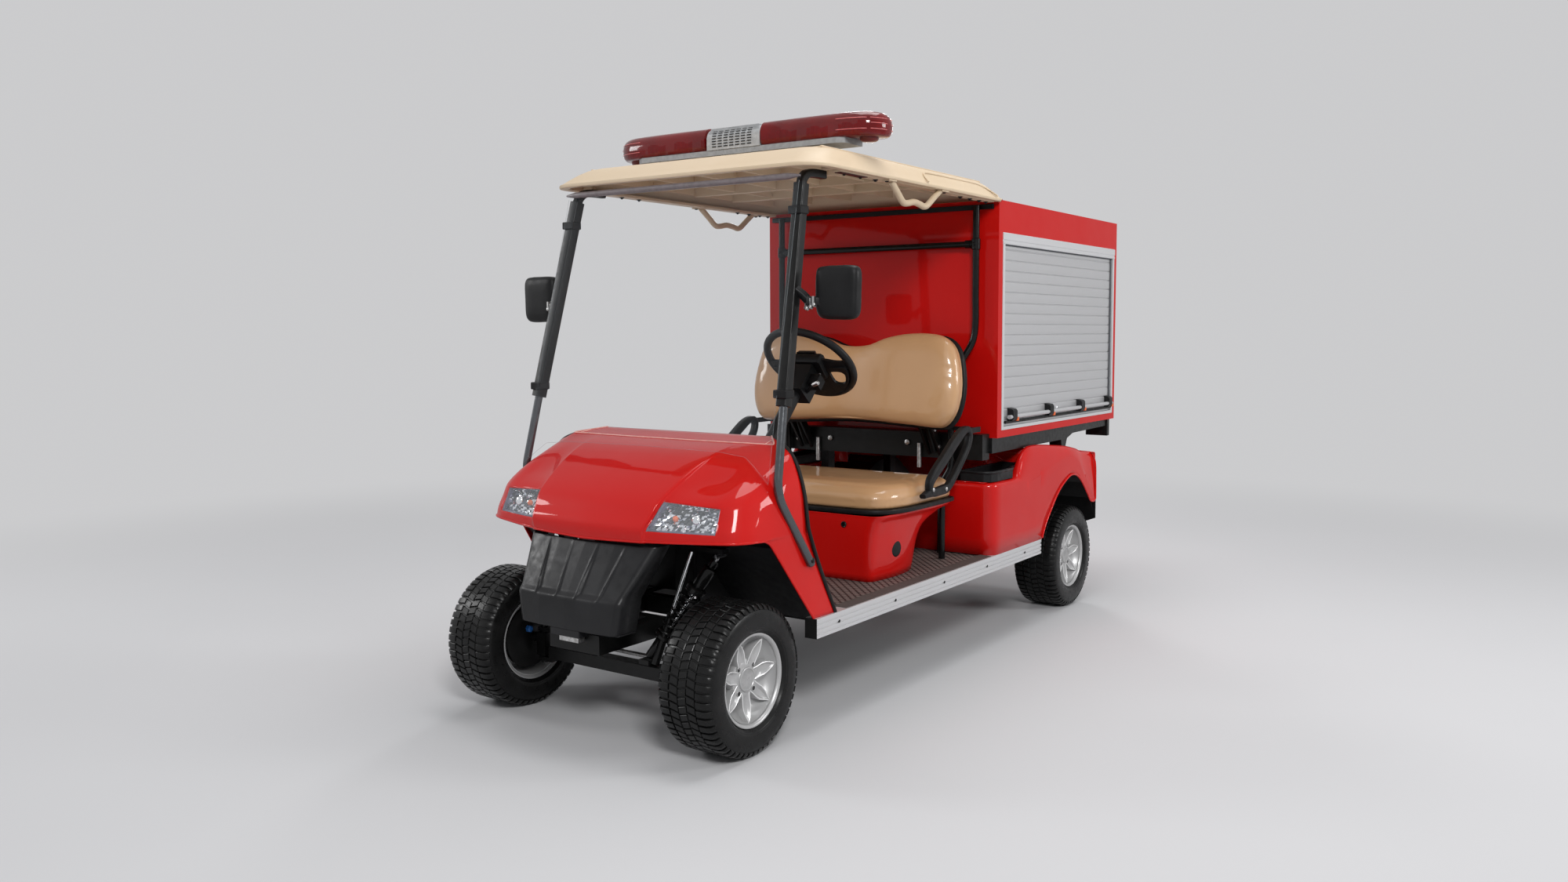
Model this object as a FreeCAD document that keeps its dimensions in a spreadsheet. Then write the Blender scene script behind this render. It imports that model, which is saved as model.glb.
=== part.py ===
"""Electric fire response cart: a two-seat electric utility cart with an equipment box.

The cart faces -Y, its left side is +X, and +Z is up. Lengths along the cart are
measured from the front axle; each sub-part's Placement then moves them so that the
origin lies under the middle of the cart's length, on the ground. Millimetres.

Tyres, rims and bent bars have flat sides, so that the model stays light and a wheel
stands on a flat. Only pins, spindles and their bores are truly round.
"""
import FreeCAD, Part
import math
import os
import re

import Sketcher
from FreeCAD import Placement, Rotation, Vector

SIZES = {
    # whole cart
    "centre_y": 1361,          # from the front axle back to the middle of the length
    "wheelbase": 2402,
    "front_track_half": 459,
    "rear_track_half": 481,
    "skin": 8,                 # thickness of the moulded body
    # wheels
    "wheel_sides": 36,
    "tyre_radius": 230,
    "tyre_half": 100,
    "rim_radius": 141,
    "rim_half": 88,
    "bead_radius": 128,
    "spindle_radius": 16,
    "cap_radius": 34,
    "lug_circle_radius": 50.8,
    "lug_radius": 6.5,
    "spoke_count": 7,
    "fit_gap": 0.3,
    # steering
    "kingpin_half": 330,
    "kingpin_radius": 10,
    "arm_reach": 110,
    "tie_rod_level": 200,
    "steering_wheel_x": 272,
    "steering_wheel_y": 705,
    "steering_wheel_z": 1149,
    "steering_wheel_radius": 177,
    "steering_grip_radius": 14,
    "column_tilt": 42.5,
    # chassis
    "rail_inner": 175,
    "rail_outer": 225,
    "rail_low": 280,
    "rail_front": -190,
    "rail_step": 120,
    "nose_inner": 55,
    "rail_rear": 2740,
    "floor_low": 340,
    "floor_top": 360,
    "floor_half": 545,
    "floor_rear": 1545,
    "sill_half": 590,
    "sill_low": 303,
    "sill_top": 365,
    "sill_width": 45,
    "sill_wall": 7,
    "sill_front": 270,
    "sill_rear": 2010,
    "bar_radius": 12.7,
    # rear body
    "body_front": 1530,
    "body_ledge": 657,
    "body_rear": 2645,
    # equipment box
    "box_half": 561.5,
    "box_front": 1618,
    "box_rear": 2952,
    "box_low": 828,
    "box_top": 1778,
    "box_wall": 20,
    "shutter_front": 1655,
    "shutter_rear": 2920,
    "shutter_low": 858,
    "shutter_top": 1652,
    "shutter_rail": 20,
    "shutter_header": 42,
    "slat_pitch": 43,
    # roof
    "roof_half": 575,
    "roof_front": 288,
    "roof_rear": 1690,
    "roof_low": 1768,
    # seat
    "seat_half": 500,
    "seat_front": 858,
    "seat_rear": 1385,
    "seat_low": 612,
    "seat_top": 704,
    "back_lean": 10,
    "back_foot_y": 1350,
    "back_foot_z": 886,
    "back_depth": 95,
}

doc = FreeCAD.newDocument("fire_response_cart")
dims = doc.addObject("Spreadsheet::Sheet", "dims")
for row, (alias, value) in enumerate(SIZES.items(), 1):
    dims.set(f"A{row}", alias)
    dims.set(f"B{row}", str(value))
    dims.setAlias(f"B{row}", alias)
doc.recompute()

nodes = []


def size(alias):
    """A driving dimension as a number."""
    return float(getattr(dims, alias))


def cells(text):
    """The text with each driving dimension's name turned into its sheet reference."""
    return re.sub(r"[a-z][a-z_]+", lambda word: "dims." + word.group(0), str(text))


def bind(thing, prop, text):
    """Bind one property to an expression over the driving dimensions."""
    thing.setExpression(prop, cells(text))


def node(name, thing):
    """Name a finished sub-part and move it from the front axle to the cart's origin."""
    thing.Label = name
    bind(thing, "Placement.Base.y", "-centre_y")
    nodes.append(thing)
    return thing


# ---------------------------------------------------------------- building blocks
def block(name, x, y, z):
    """A box between low and high values along each axis."""
    box = doc.addObject("Part::Box", name)
    for letter, prop, (low, high) in zip("xyz", ("Length", "Width", "Height"), (x, y, z)):
        bind(box, prop, f"({high}) - ({low})")
        bind(box, f"Placement.Base.{letter}", low)
    return box


def rod(name, base, direction, radius, length):
    """A cylinder from a base point along a direction."""
    cylinder = doc.addObject("Part::Cylinder", name)
    bind(cylinder, "Radius", radius)
    bind(cylinder, "Height", length)
    cylinder.Placement = Placement(Vector(0, 0, 0), Rotation(Vector(0, 0, 1), Vector(*direction)))
    for letter, text in zip("xyz", base):
        bind(cylinder, f"Placement.Base.{letter}", text)
    return cylinder


def fuse(name, things):
    joined = doc.addObject("Part::MultiFuse", name)
    joined.Shapes = things
    return joined


def cut(name, base, tool):
    rest = doc.addObject("Part::Cut", name)
    rest.Base = base
    rest.Tool = tool
    return rest


def mirrored(name, thing):
    """The same piece on the other side of the cart."""
    twin = doc.addObject("Part::Mirroring", name)
    twin.Source = thing
    twin.Base = Vector(0, 0, 0)
    twin.Normal = Vector(1, 0, 0)
    return twin


def group(name, things):
    """Separate solids that make one sub-part."""
    whole = doc.addObject("Part::Compound", name)
    whole.Links = things
    return whole


def pair(name, *things):
    """Left pieces and their right twins as one sub-part of separate solids."""
    twins = [mirrored(f"{thing.Name}_twin", thing) for thing in things]
    return group(name, list(things) + twins)


def made(name, shape):
    """A sub-part whose shape comes from Part's own functions, with its place in its geometry."""
    matrix = shape.Placement.toMatrix()
    flat = shape.copy()
    flat.Placement = Placement()
    feature = doc.addObject("Part::Feature", name)
    feature.Shape = flat.transformed(matrix, True)
    return feature


def outline(body, name, role, points, level):
    """A closed polygon on one of the body's origin planes, each corner bound to the sheet."""
    plane = next(part for part in body.Origin.OriginFeatures if part.Role == role)
    sketch = body.newObject("Sketcher::SketchObject", name)
    sketch.AttachmentSupport = [(plane, "")]
    sketch.MapMode = "FlatFace"
    bind(sketch, "AttachmentOffset.Base.z", level)
    count = len(points)
    turns = [2 * math.pi * index / count for index in range(count)]
    start = [Vector(math.cos(turn), math.sin(turn), 0) for turn in turns]
    for index in range(count):
        sketch.addGeometry(Part.LineSegment(start[index], start[(index + 1) % count]), False)
    for index in range(count):
        sketch.addConstraint(Sketcher.Constraint("Coincident", index, 2, (index + 1) % count, 1))
    for index, corner in enumerate(points):
        for kind, value, text in zip(("DistanceX", "DistanceY"), start[index], corner):
            number = sketch.addConstraint(Sketcher.Constraint(kind, -1, 1, index, 1, value))
            bind(sketch, f"Constraints[{number}]", text)
    return sketch


def prism(name, role, points, low, high):
    """A PartDesign body: a polygon padded from low to high along the plane's axis.

    The XZ plane's normal is -Y, so there the sketch lies at the high value and the pad
    comes forward to the low one.
    """
    body = doc.addObject("PartDesign::Body", name)
    level = f"-({high})" if role == "XZ_Plane" else low
    sketch = outline(body, name + "_outline", role, points, level)
    pad = body.newObject("PartDesign::Pad", name + "_pad")
    pad.Profile = sketch
    bind(pad, "Length", f"({high}) - ({low})")
    sketch.Visibility = False
    return body


def ring(points):
    """A closed wire of straight edges."""
    points = [Vector(*point) for point in points]
    return Part.makePolygon(points + points[:1])


def plate(points, depth):
    """A flat outline drawn out by a vector."""
    return Part.Face(ring(points)).extrude(Vector(*depth))


def patch(corners):
    """One flat face, or two triangles where the four corners are not in one plane."""
    kept = [corner for index, corner in enumerate(corners) if (corner - corners[index - 1]).Length > 1e-6]
    if len(kept) < 3:
        return []
    if len(kept) == 3:
        return [Part.Face(ring(kept))]
    normal = (kept[1] - kept[0]).cross(kept[2] - kept[0])
    if normal.Length > 1e-6 and abs(normal.normalize().dot(kept[3] - kept[0])) < 1e-8:
        return [Part.Face(ring(kept))]
    return [Part.Face(ring(kept[:3])), Part.Face(ring([kept[0], kept[2], kept[3]]))]


def lofted(levels, closed=False):
    """A solid with flat faces between outlines of equally many corners."""
    levels = [[Vector(*point) for point in level] for level in levels]
    faces = [] if closed else [Part.Face(ring(levels[0])), Part.Face(ring(levels[-1]))]
    following = levels[1:] + levels[:1] if closed else levels[1:]
    for level, beyond in zip(levels, following):
        for index in range(len(level)):
            faces += patch([level[index - 1], level[index], beyond[index], beyond[index - 1]])
    shell = Part.makeShell(faces)
    shell.sewShape()
    solid = Part.makeSolid(shell)
    if solid.Volume < 0:
        solid.reverse()
    return solid


def turned(profile, sides):
    """A flat-sided wheel shape about the X axis from a closed outline (across, radius)."""
    stretch = 1 / math.cos(math.pi / sides)
    sections = []
    for index in range(sides):
        turn = 2 * math.pi * (index + 0.5) / sides
        reach = [(across, radius * stretch) for across, radius in profile]
        sections.append([(across, far * math.cos(turn), far * math.sin(turn)) for across, far in reach])
    return lofted(sections, True)


def disc(start, end, radius, sides):
    """A flat-sided drum about the X axis."""
    turns = [2 * math.pi * (index + 0.5) / sides for index in range(sides)]
    return plate([(start, radius * math.cos(turn), radius * math.sin(turn)) for turn in turns],
                 (end - start, 0, 0))


def bar(points, radius, sides=10):
    """A flat-sided bar, mitred at each corner of its path."""
    points = [Vector(*point) for point in points]
    ahead = (points[1] - points[0]).normalize()
    side = Vector(0, 0, 1) if abs(ahead.z) < 0.7 else Vector(1, 0, 0)
    across = ahead.cross(side).normalize()
    up = across.cross(ahead)
    turns = [2 * math.pi * (index + 0.5) / sides for index in range(sides)]
    section = ring([points[0] + (across * math.cos(turn) + up * math.sin(turn)) * radius for turn in turns])
    return Part.makePolygon(points).makePipeShell([section], True, False, 1)


def square_bar(points, width):
    return bar(points, width / math.sqrt(2), 4)


def flipped(points):
    """The right half of an outline, in reverse order, to close a left half."""
    return [(-point[0],) + tuple(point[1:]) for point in reversed(points)]


def twins(shape):
    """A shape and its twin on the other side of the cart."""
    return [shape, shape.mirror(Vector(0, 0, 0), Vector(1, 0, 0))]


def box_shape(x, y, z):
    """A box between low and high values along each axis, as a bare shape."""
    return Part.makeBox(x[1] - x[0], y[1] - y[0], z[1] - z[0], Vector(x[0], y[0], z[0]))


# ---------------------------------------------------------------- chassis
def chassis_frame():
    """The two main rails, and the closer pair between the front shocks."""
    rail = block("rail", ("rail_inner", "rail_outer"), ("rail_step", "rail_rear"), ("rail_low", "floor_low"))
    nose = block("nose_rail", ("nose_inner", "nose_inner + 50"), ("rail_front", "rail_step - 40"),
                 ("rail_low", "floor_low"))
    node("chassis_frame", pair("rails", rail, nose))


def cross_members():
    """The frame's cross tubes, sill outriggers and front shock towers, each its own solid."""
    pieces = []
    for number, y in enumerate((330, 840, 1480, 2080, 2700)):
        pieces.append(block(f"cross_tube_{number}", ("-rail_inner", "rail_inner"),
                            (str(y), str(y + 40)), ("rail_low", "floor_low")))
    pieces.append(block("nose_tube", ("-nose_inner", "nose_inner"), ("rail_front", "rail_front + 40"),
                        ("rail_low", "floor_low")))
    pieces.append(block("step_tube", ("-rail_outer", "rail_outer"), ("rail_step - 40", "rail_step"),
                        ("rail_low", "floor_low")))
    sides = []
    for number, y in enumerate((430, 1150, 1900)):
        sides.append(block(f"outrigger_{number}", ("rail_outer", "sill_half - sill_wall"),
                           (str(y), str(y + 50)), ("floor_low - 30", "floor_low")))
    sides.append(block("tower", ("rail_inner", "rail_outer"), ("85", "115"), ("floor_low", "575")))
    sides.append(block("tower_arm", ("rail_inner", "368"), ("80", "112"), ("575", "590")))
    pieces += sides + [mirrored(f"{thing.Name}_twin", thing) for thing in sides]
    node("cross_members", group("cross_member_set", pieces))


def floor_mat():
    points = [("floor_rear", "floor_low"), ("floor_rear", "floor_top"), ("448", "floor_top"),
              ("352", "600"), ("330", "600"), ("436", "floor_low")]
    node("floor_mat", prism("mat", "YZ_Plane", points, "-floor_half", "floor_half"))


def sills():
    """An aluminium step on each side with three grooves in its outer face."""
    points = [("sill_half", "sill_low")]
    for height in (10, 26, 42):
        points += [("sill_half", f"sill_low + {height}"), ("sill_half - 3", f"sill_low + {height + 1}"),
                   ("sill_half - 3", f"sill_low + {height + 5}"), ("sill_half", f"sill_low + {height + 6}")]
    points += [("sill_half", "sill_top"), ("sill_half - sill_width", "sill_top"),
               ("sill_half - sill_width", "floor_top"), ("sill_half - sill_wall", "floor_top"),
               ("sill_half - sill_wall", "sill_low")]
    node("sills", pair("sill_pair", prism("sill", "XZ_Plane", points, "sill_front", "sill_rear")))


def front_axle():
    beam = block("beam", ("-kingpin_half + 42", "kingpin_half - 42"), ("-24", "24"), ("174", "215"))
    post = block("yoke_post", ("kingpin_half - 47", "kingpin_half - 37"), ("-12", "12"), ("158", "272"))
    ears = [block(f"yoke_ear_{z}", ("kingpin_half - 47", "kingpin_half + 16"), ("-15", "15"),
                  (str(z), str(z + 14))) for z in (158, 258)]
    pin = rod("kingpin", ("kingpin_half", "0", "150"), (0, 0, 1), "kingpin_radius", "130")
    foot = block("shock_foot", ("110", "150"), ("-20", "24"), ("215", "232"))
    end = [post, pin, foot] + ears
    node("front_axle", fuse("axle", [beam] + end + [mirrored(f"{thing.Name}_twin", thing) for thing in end]))


def rear_axle():
    tube = rod("axle_tube", ("-rear_track_half + 60", "wheelbase", "tyre_radius"), (1, 0, 0), "34",
               "2 * rear_track_half - 120")
    spindle = rod("rear_spindle", ("rear_track_half - 61", "wheelbase", "tyre_radius"), (1, 0, 0),
                  "spindle_radius", "69")
    centre = Vector(0, size("wheelbase"), size("tyre_radius"))
    housing = made("diff_housing", disc(20, 130, 92, 16).translated(centre))
    motor = made("motor", disc(-165, 95, 84, 16).translated(centre + Vector(0, -120, 15)))
    end = size("rear_track_half") - 60
    plate_left = made("brake_plate", disc(end, end + 4, 100, 20).translated(centre))
    ends = [spindle, plate_left]
    others = [mirrored(f"{thing.Name}_twin", thing) for thing in ends]
    node("rear_axle", fuse("rear_axle_set", [tube, housing, motor] + ends + others))


def front_shock():
    """A coil-over that leans in from the shock tower down to the axle beam."""
    foot, top = Vector(130, 4, 232), Vector(347, 100, 575)
    ahead = (top - foot).normalize()
    rod_part = bar([foot, top], 10)
    coil = bar([foot + ahead * 70, foot + ahead * 290], 30, 12)
    cup = bar([foot + ahead * 290, foot + ahead * 345], 20, 12)
    whole = rod_part.fuse([coil, cup])
    below = box_shape((0, 600), (-200, 300), (100, 232))
    above = box_shape((0, 600), (-200, 300), (575, 700))
    return whole.cut(below.fuse(above))


def gas_shock():
    """A slim damper in front of the tower, from the axle beam up to the tower's arm."""
    foot, top = Vector(166, -10, 215), Vector(245, 84, 575)
    ahead = (top - foot).normalize()
    whole = bar([foot, top], 6, 8).fuse(bar([foot, foot + ahead * 170], 14, 10))
    return whole.cut(box_shape((0, 600), (-200, 300), (100, 215)).fuse(box_shape((0, 600), (-200, 300), (575, 700))))


def leaf_spring():
    """A leaf spring under each frame rail, with its seat under the axle tube and its hangers."""
    top = [(2010, 262), (2110, 226), (2250, 202), (2372, 192), (2432, 192), (2554, 202), (2690, 262)]
    low = [(y, z - 26) for y, z in reversed(top)]
    width = Vector(40, 0, 0)
    start = size("rail_inner") + 5
    leaf = plate([(start, y, z) for y, z in top + low], width)
    across = (start, start + 40)
    hangers = [box_shape(across, (y, y + 26), (236, size("rail_low"))) for y in (2010, 2664)]
    seat = box_shape(across, (2372, 2432), (192, size("tyre_radius") - 34))
    return leaf.fuse(hangers + [seat])


def springs():
    pieces = [made("front_shock", front_shock()), made("gas_shock", gas_shock()), made("leaf_spring", leaf_spring())]
    node("springs", pair("spring_set", *pieces))


def battery_pack():
    battery = block("battery", ("-380", "380"), ("880", "1150"), ("floor_top", "555"))
    lid = block("battery_lid", ("-372", "372"), ("888", "1142"), ("555", "564"))
    node("battery_pack", fuse("battery_block", [battery, lid]))


# ---------------------------------------------------------------- wheels and steering
def wheel_place(name, shape, side, x, y):
    """Put a wheel piece, made about the X axis with its face towards +X, on its axle."""
    body = doc.addObject("Part::Feature", name + "_body")
    body.Shape = shape
    turn = 0 if side > 0 else 180
    body.Placement = Placement(Vector(0, 0, 0), Rotation(Vector(0, 0, 1), turn))
    bind(body, "Placement.Base.x", x if side > 0 else f"-{x}")
    bind(body, "Placement.Base.y", f"{y} - centre_y")
    bind(body, "Placement.Base.z", "tyre_radius")
    body.Label = name
    nodes.append(body)


def tyre_shape():
    half, bead, tread = size("tyre_half"), size("bead_radius") + size("fit_gap"), size("tyre_radius")
    lip = size("rim_radius")
    inside = size("rim_half") - 8 - size("fit_gap")
    right = [(inside, bead), (inside, lip + 1), (half - 7, lip + 12), (half, lip + 41),
             (half - 5, tread - 18), (half - 24, tread)]
    return turned(right + flipped(right), int(size("wheel_sides")))


def spoke(turn):
    """One leaf-shaped spoke with a hollow between its two raised edges."""
    outward = Vector(0, math.cos(turn), math.sin(turn))
    sideways = Vector(0, -math.sin(turn), math.cos(turn))
    levels = []
    for reach, width, face, hollow in ((46, 32, 60, 8), (88, 46, 65, 11), (126, 12, 73, 2)):
        corners = [(-width / 2, face - 13), (-width * 0.36, face), (0, face - hollow),
                   (width * 0.36, face), (width / 2, face - 13)]
        levels.append([outward * reach + sideways * across + Vector(depth, 0, 0) for across, depth in corners])
    return lofted(levels)


def rim_shape():
    """A cast alloy wheel: barrel, hub drum, seven spokes, centre cap and four lug holes."""
    half, lip, bead = size("rim_half"), size("rim_radius"), size("bead_radius")
    inner = bead - 7
    barrel = turned([(-half, inner), (-half, lip), (8 - half, bead), (half - 8, bead), (half, lip),
                     (half, lip - 8), (half - 14, inner)], int(size("wheel_sides")))
    bore = size("spindle_radius") + 0.5
    hub = turned([(-35, bore), (-35, 84), (18, 84), (18, 62), (58, 62), (58, bore)], 18)
    cap = disc(50, 64, size("cap_radius"), 18)
    spokes = [spoke(2 * math.pi * index / size("spoke_count")) for index in range(int(size("spoke_count")))]
    holes = []
    for index in range(4):
        turn = 2 * math.pi * (index + 0.5) / 4
        reach = Vector(0, math.cos(turn), math.sin(turn)) * size("lug_circle_radius")
        holes.append(disc(40, 80, size("lug_radius"), 8).translated(reach))
    return barrel.fuse([hub, cap] + spokes).cut(holes)


def knuckle(name, side):
    """A steering knuckle turned to the left side; the right one is its mirror image."""
    barrel = block(name + "_barrel", ("kingpin_half - 19", "kingpin_half + 19"), ("-19", "19"), ("177", "253"))
    bore = rod(name + "_bore", ("kingpin_half", "0", "170"), (0, 0, 1), "kingpin_radius + fit_gap", "90")
    spindle = rod(name + "_spindle", ("kingpin_half + 14", "0", "tyre_radius"), (1, 0, 0), "spindle_radius",
                  "front_track_half + 8 - kingpin_half - 14")
    arm = block(name + "_arm", ("kingpin_half - 10", "kingpin_half + 10"), ("15", "arm_reach + 12"),
                ("tie_rod_level + 8", "tie_rod_level + 22"))
    stud = rod(name + "_stud", ("kingpin_half", "arm_reach", "tie_rod_level - 10"), (0, 0, 1), "6", "24")
    start = size("front_track_half") - 50
    backing = made(name + "_backing", disc(start, start + 5, 104, 20).translated(Vector(0, 0, size("tyre_radius"))))
    whole = cut(name + "_drilled", fuse(name + "_forging", [barrel, spindle, arm, stud, backing]), bore)
    node(name, whole if side > 0 else mirrored(name + "_mirror", whole))


def tie_rod():
    """The bar between the knuckles' arms, with an open hole at its right end."""
    level, reach, half = size("tie_rod_level"), size("arm_reach"), size("kingpin_half")
    rail = made("tie_bar", bar([(12 - half, reach, level), (half - 12, reach, level)], 7, 8))
    eye = block("tie_eye", ("kingpin_half - 15", "kingpin_half + 15"), ("arm_reach - 15", "arm_reach + 15"),
                ("tie_rod_level - 7", "tie_rod_level + 7"))
    hole = rod("tie_hole", ("kingpin_half", "arm_reach", "tie_rod_level - 20"), (0, 0, 1), "6.5", "50")
    twin = rod("tie_hole_open", ("-kingpin_half", "arm_reach", "tie_rod_level - 20"), (0, 0, 1), "8", "50")
    blank = fuse("tie_blank", [rail, eye, mirrored("tie_eye_twin", eye)])
    node("tie_rod", cut("tie", cut("tie_one", blank, hole), twin))


def column_axis():
    tilt = math.radians(size("column_tilt"))
    return Vector(0, math.sin(tilt), math.cos(tilt))


def on_wheel(points, depth):
    """Corners given across and up the steering wheel's face, at a depth along its column."""
    centre = Vector(size("steering_wheel_x"), size("steering_wheel_y"), size("steering_wheel_z"))
    axis = column_axis()
    up = Vector(0, -axis.z, axis.y)
    return [centre + Vector(1, 0, 0) * across + up * height + axis * depth for across, height in points]


def steering_wheel():
    radius, grip = size("steering_wheel_radius"), size("steering_grip_radius")
    turns = [math.pi * (index + 0.5) / 4 for index in range(8)]
    hoop = turned([(grip * math.cos(turn), radius - grip + grip * math.sin(turn)) for turn in turns], 24)
    centre = on_wheel([(0, 0)], 0)[0]
    hoop.Placement = Placement(centre, Rotation(Vector(1, 0, 0), column_axis()))
    arc = [math.radians(angle) for angle in range(190, 351, 20)]
    web_line = [(-90, 34), (-158, 10)] + [(160 * math.cos(turn), 160 * math.sin(turn)) for turn in arc]
    web_line += [(158, 10), (90, 34)]
    axis = column_axis()
    web = plate(on_wheel(web_line, -20), axis * 14)
    for side in (1, -1):
        gap = [(72, -34), (82, -22), (124, -22), (136, -36), (122, -78), (104, -92), (80, -92), (70, -80)]
        web = web.cut(plate(on_wheel([(side * across, height) for across, height in gap], -30), axis * 40))
    pad = plate(on_wheel([(-72, 48), (72, 48), (60, -58), (-60, -58)], -32), axis * 40)
    raised = plate(on_wheel([(-34, 44), (34, 44), (30, 4), (-30, 4)], 0), axis * 22)
    node("steering_wheel", made("hand_wheel", hoop.fuse([web, pad, raised])))


def steering_column(dash):
    """The column from behind the wheel into the dashboard, with its key switch and lever."""
    axis = column_axis()
    top = on_wheel([(0, 0)], -38)[0]
    shaft = bar([top, top - axis * 470], 24, 12)
    shroud = plate(on_wheel([(-44, 36), (44, 36), (44, -44), (-44, -44)], -38), axis * -110)
    switch = plate(on_wheel([(44, 18), (82, 18), (82, -22), (44, -22)], -66), axis * -40)
    lever = bar([on_wheel([(40, -6)], -130)[0], on_wheel([(92, 30)], -120)[0]], 6, 6)
    node("steering_column", made("column", shaft.fuse([shroud, switch, lever]).cut(dash)))


def pedals():
    """Two pedals on arms that hang from the toe board."""
    pieces = []
    for x in (190, 330):
        pad = plate([(x, 470, 400), (x, 456, 400), (x, 436, 505), (x, 450, 505)], (80, 0, 0))
        arm = plate([(x + 32, 444, 440), (x + 32, 392, 500), (x + 32, 378, 535), (x + 32, 388, 520),
                     (x + 32, 442, 480)], (16, 0, 0))
        pieces.append(pad.fuse(arm))
    board = plate([(0, 436, 340), (0, 448, 360), (0, 352, 600), (0, 300, 600), (0, 300, 340)], (600, 0, 0))
    node("pedals", made("pedal_set", Part.makeCompound([piece.cut(board) for piece in pieces])))


# ---------------------------------------------------------------- body panels
COWL_RINGS = [
    # half outlines (across, along) at a height; the last one tilts up towards the rear
    (600, [(0, -138), (120, -134), (224, -125), (232, -122), (237, -119), (320, -106), (400, -89), (468, -73),
           (515, -42), (545, 10), (556, 73), (559, 165), (561, 254)]),
    (664, [(0, -147), (120, -144), (224, -139), (232, -137), (239, -126), (320, -106), (395, -85), (457, -66),
           (505, -38), (533, 8), (545, 73), (555, 165), (560, 254)]),
    (704, [(0, -125), (120, -122), (234, -116), (243, -114), (250, -98), (325, -80), (398, -63), (455, -48),
           (503, -18), (528, 30), (540, 88), (550, 170), (556, 254)]),
    (748, [(0, -92), (120, -90), (245, -84), (254, -81), (261, -67), (325, -53), (395, -40), (453, -27),
           (500, 6), (522, 55), (534, 105), (546, 180), (551, 254)]),
    (800, [(0, -22), (120, -20), (258, -12), (268, -8), (276, 6), (332, 34), (395, 48), (458, 50),
           (496, 84), (514, 125), (525, 165), (534, 210), (538, 254)]),
    (850, [(0, 68), (120, 70), (274, 78), (283, 82), (290, 92), (340, 112), (400, 126), (450, 146),
           (480, 176), (498, 204), (508, 226), (514, 242), (517, 256)]),
    (882, [(0, 150), (120, 152), (285, 160), (294, 163), (300, 168), (350, 184), (400, 200), (436, 213),
           (458, 228), (470, 240), (479, 250), (485, 258), (489, 268)]),
    (903, [(0, 250), (120, 250), (290, 252), (300, 252), (306, 253), (345, 254), (385, 254), (420, 254),
           (432, 256), (430, 266), (412, 290), (385, 322), (360, 351)]),
]


def inset(points, amount):
    """A half outline moved inwards, its rear end carried on past the body's open rear."""
    moved = []
    for index, (across, along) in enumerate(points):
        before = points[max(index - 1, 0)]
        after = points[min(index + 1, len(points) - 1)]
        step = Vector(after[0] - before[0], after[1] - before[1], 0).normalize()
        shift = Vector(0, amount, 0) if index == 0 else Vector(-step.y, step.x, 0) * amount
        moved.append((across + shift.x, along + shift.y))
    return moved[:-1] + [(moved[-1][0], 430)]


def cowl_volume(skin):
    """The cowl as a filled block; a skin above zero gives the hollow inside it."""
    levels = []
    for index, (height, half) in enumerate(COWL_RINGS):
        points = inset(half, skin) if skin else half
        low = height - (skin + 30 * (index == 0) if skin else 0)
        tilt = 0.175 if index == len(COWL_RINGS) - 1 else 0
        level = [(across, along, low + tilt * (along - 254)) for across, along in points]
        levels.append(level + flipped(level)[:-1])
    return lofted(levels)


def cowl_leg():
    """The narrow part of the cowl that runs down behind the front wheel to the step."""
    skin = size("skin")
    low = [(578, 270, 365), (582, 383, 365), (582 - skin, 383, 365), (578 - skin, 270, 365)]
    top = [(556, 73, 640), (561, 254, 640), (561 - skin, 254, 640), (556 - skin, 73, 640)]
    return lofted([low, top])


LAMP_CORNERS = [(453, 737), (261, 748), (239, 664), (457, 663)]


def lamp_window(side, gap):
    """The headlamp's outline, shrunk by a gap and drawn along Y through the cowl's front."""
    middle = (352, 703)
    corners = []
    for across, height in LAMP_CORNERS:
        across -= math.copysign(gap, across - middle[0])
        height -= math.copysign(gap, height - middle[1])
        corners.append((side * across, -220, height))
    return plate(corners, (0, 260, 0))


def cowl_shape():
    shell = cowl_volume(0).cut(cowl_volume(size("skin")))
    lip = [(0, 624), (243, 631), (468, 638), (700, 638), (700, 500)]
    under = plate([(x, -300, z) for x, z in lip + flipped(lip)[:-1]], (0, 760, 0))
    shell = shell.cut(under)
    shell = shell.fuse(twins(cowl_leg()))
    return shell.cut([lamp_window(side, 0) for side in (1, -1)])


def headlamps():
    """Lamps whose glass carries on the cowl's surface inside each window."""
    lamps = []
    for side in (1, -1):
        lamp = lamp_window(side, 1).common(cowl_volume(0))
        behind = plate([(side * across, height_y, height) for across, height_y, height in
                        ((200, -62, 640), (500, -2, 640), (500, 60, 780), (200, 0, 780))], (0, 300, 0))
        lamps.append(lamp.cut(behind))
    node("headlamps", made("headlamp_pair", Part.makeCompound(lamps)))


def dash_shape():
    """The dashboard, filling the cowl from inside, with a glove recess on the right."""
    points = [(-560, 300, 602), (-560, 300, 905), (-560, 340, 930), (-560, 372, 888), (-560, 362, 800),
              (-560, 345, 690), (-560, 340, 602)]
    board = plate(points, (1120, 0, 0)).common(cowl_volume(size("skin")))
    return board.cut(box_shape((-400, -70), (318, 420), (735, 850)))


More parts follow.
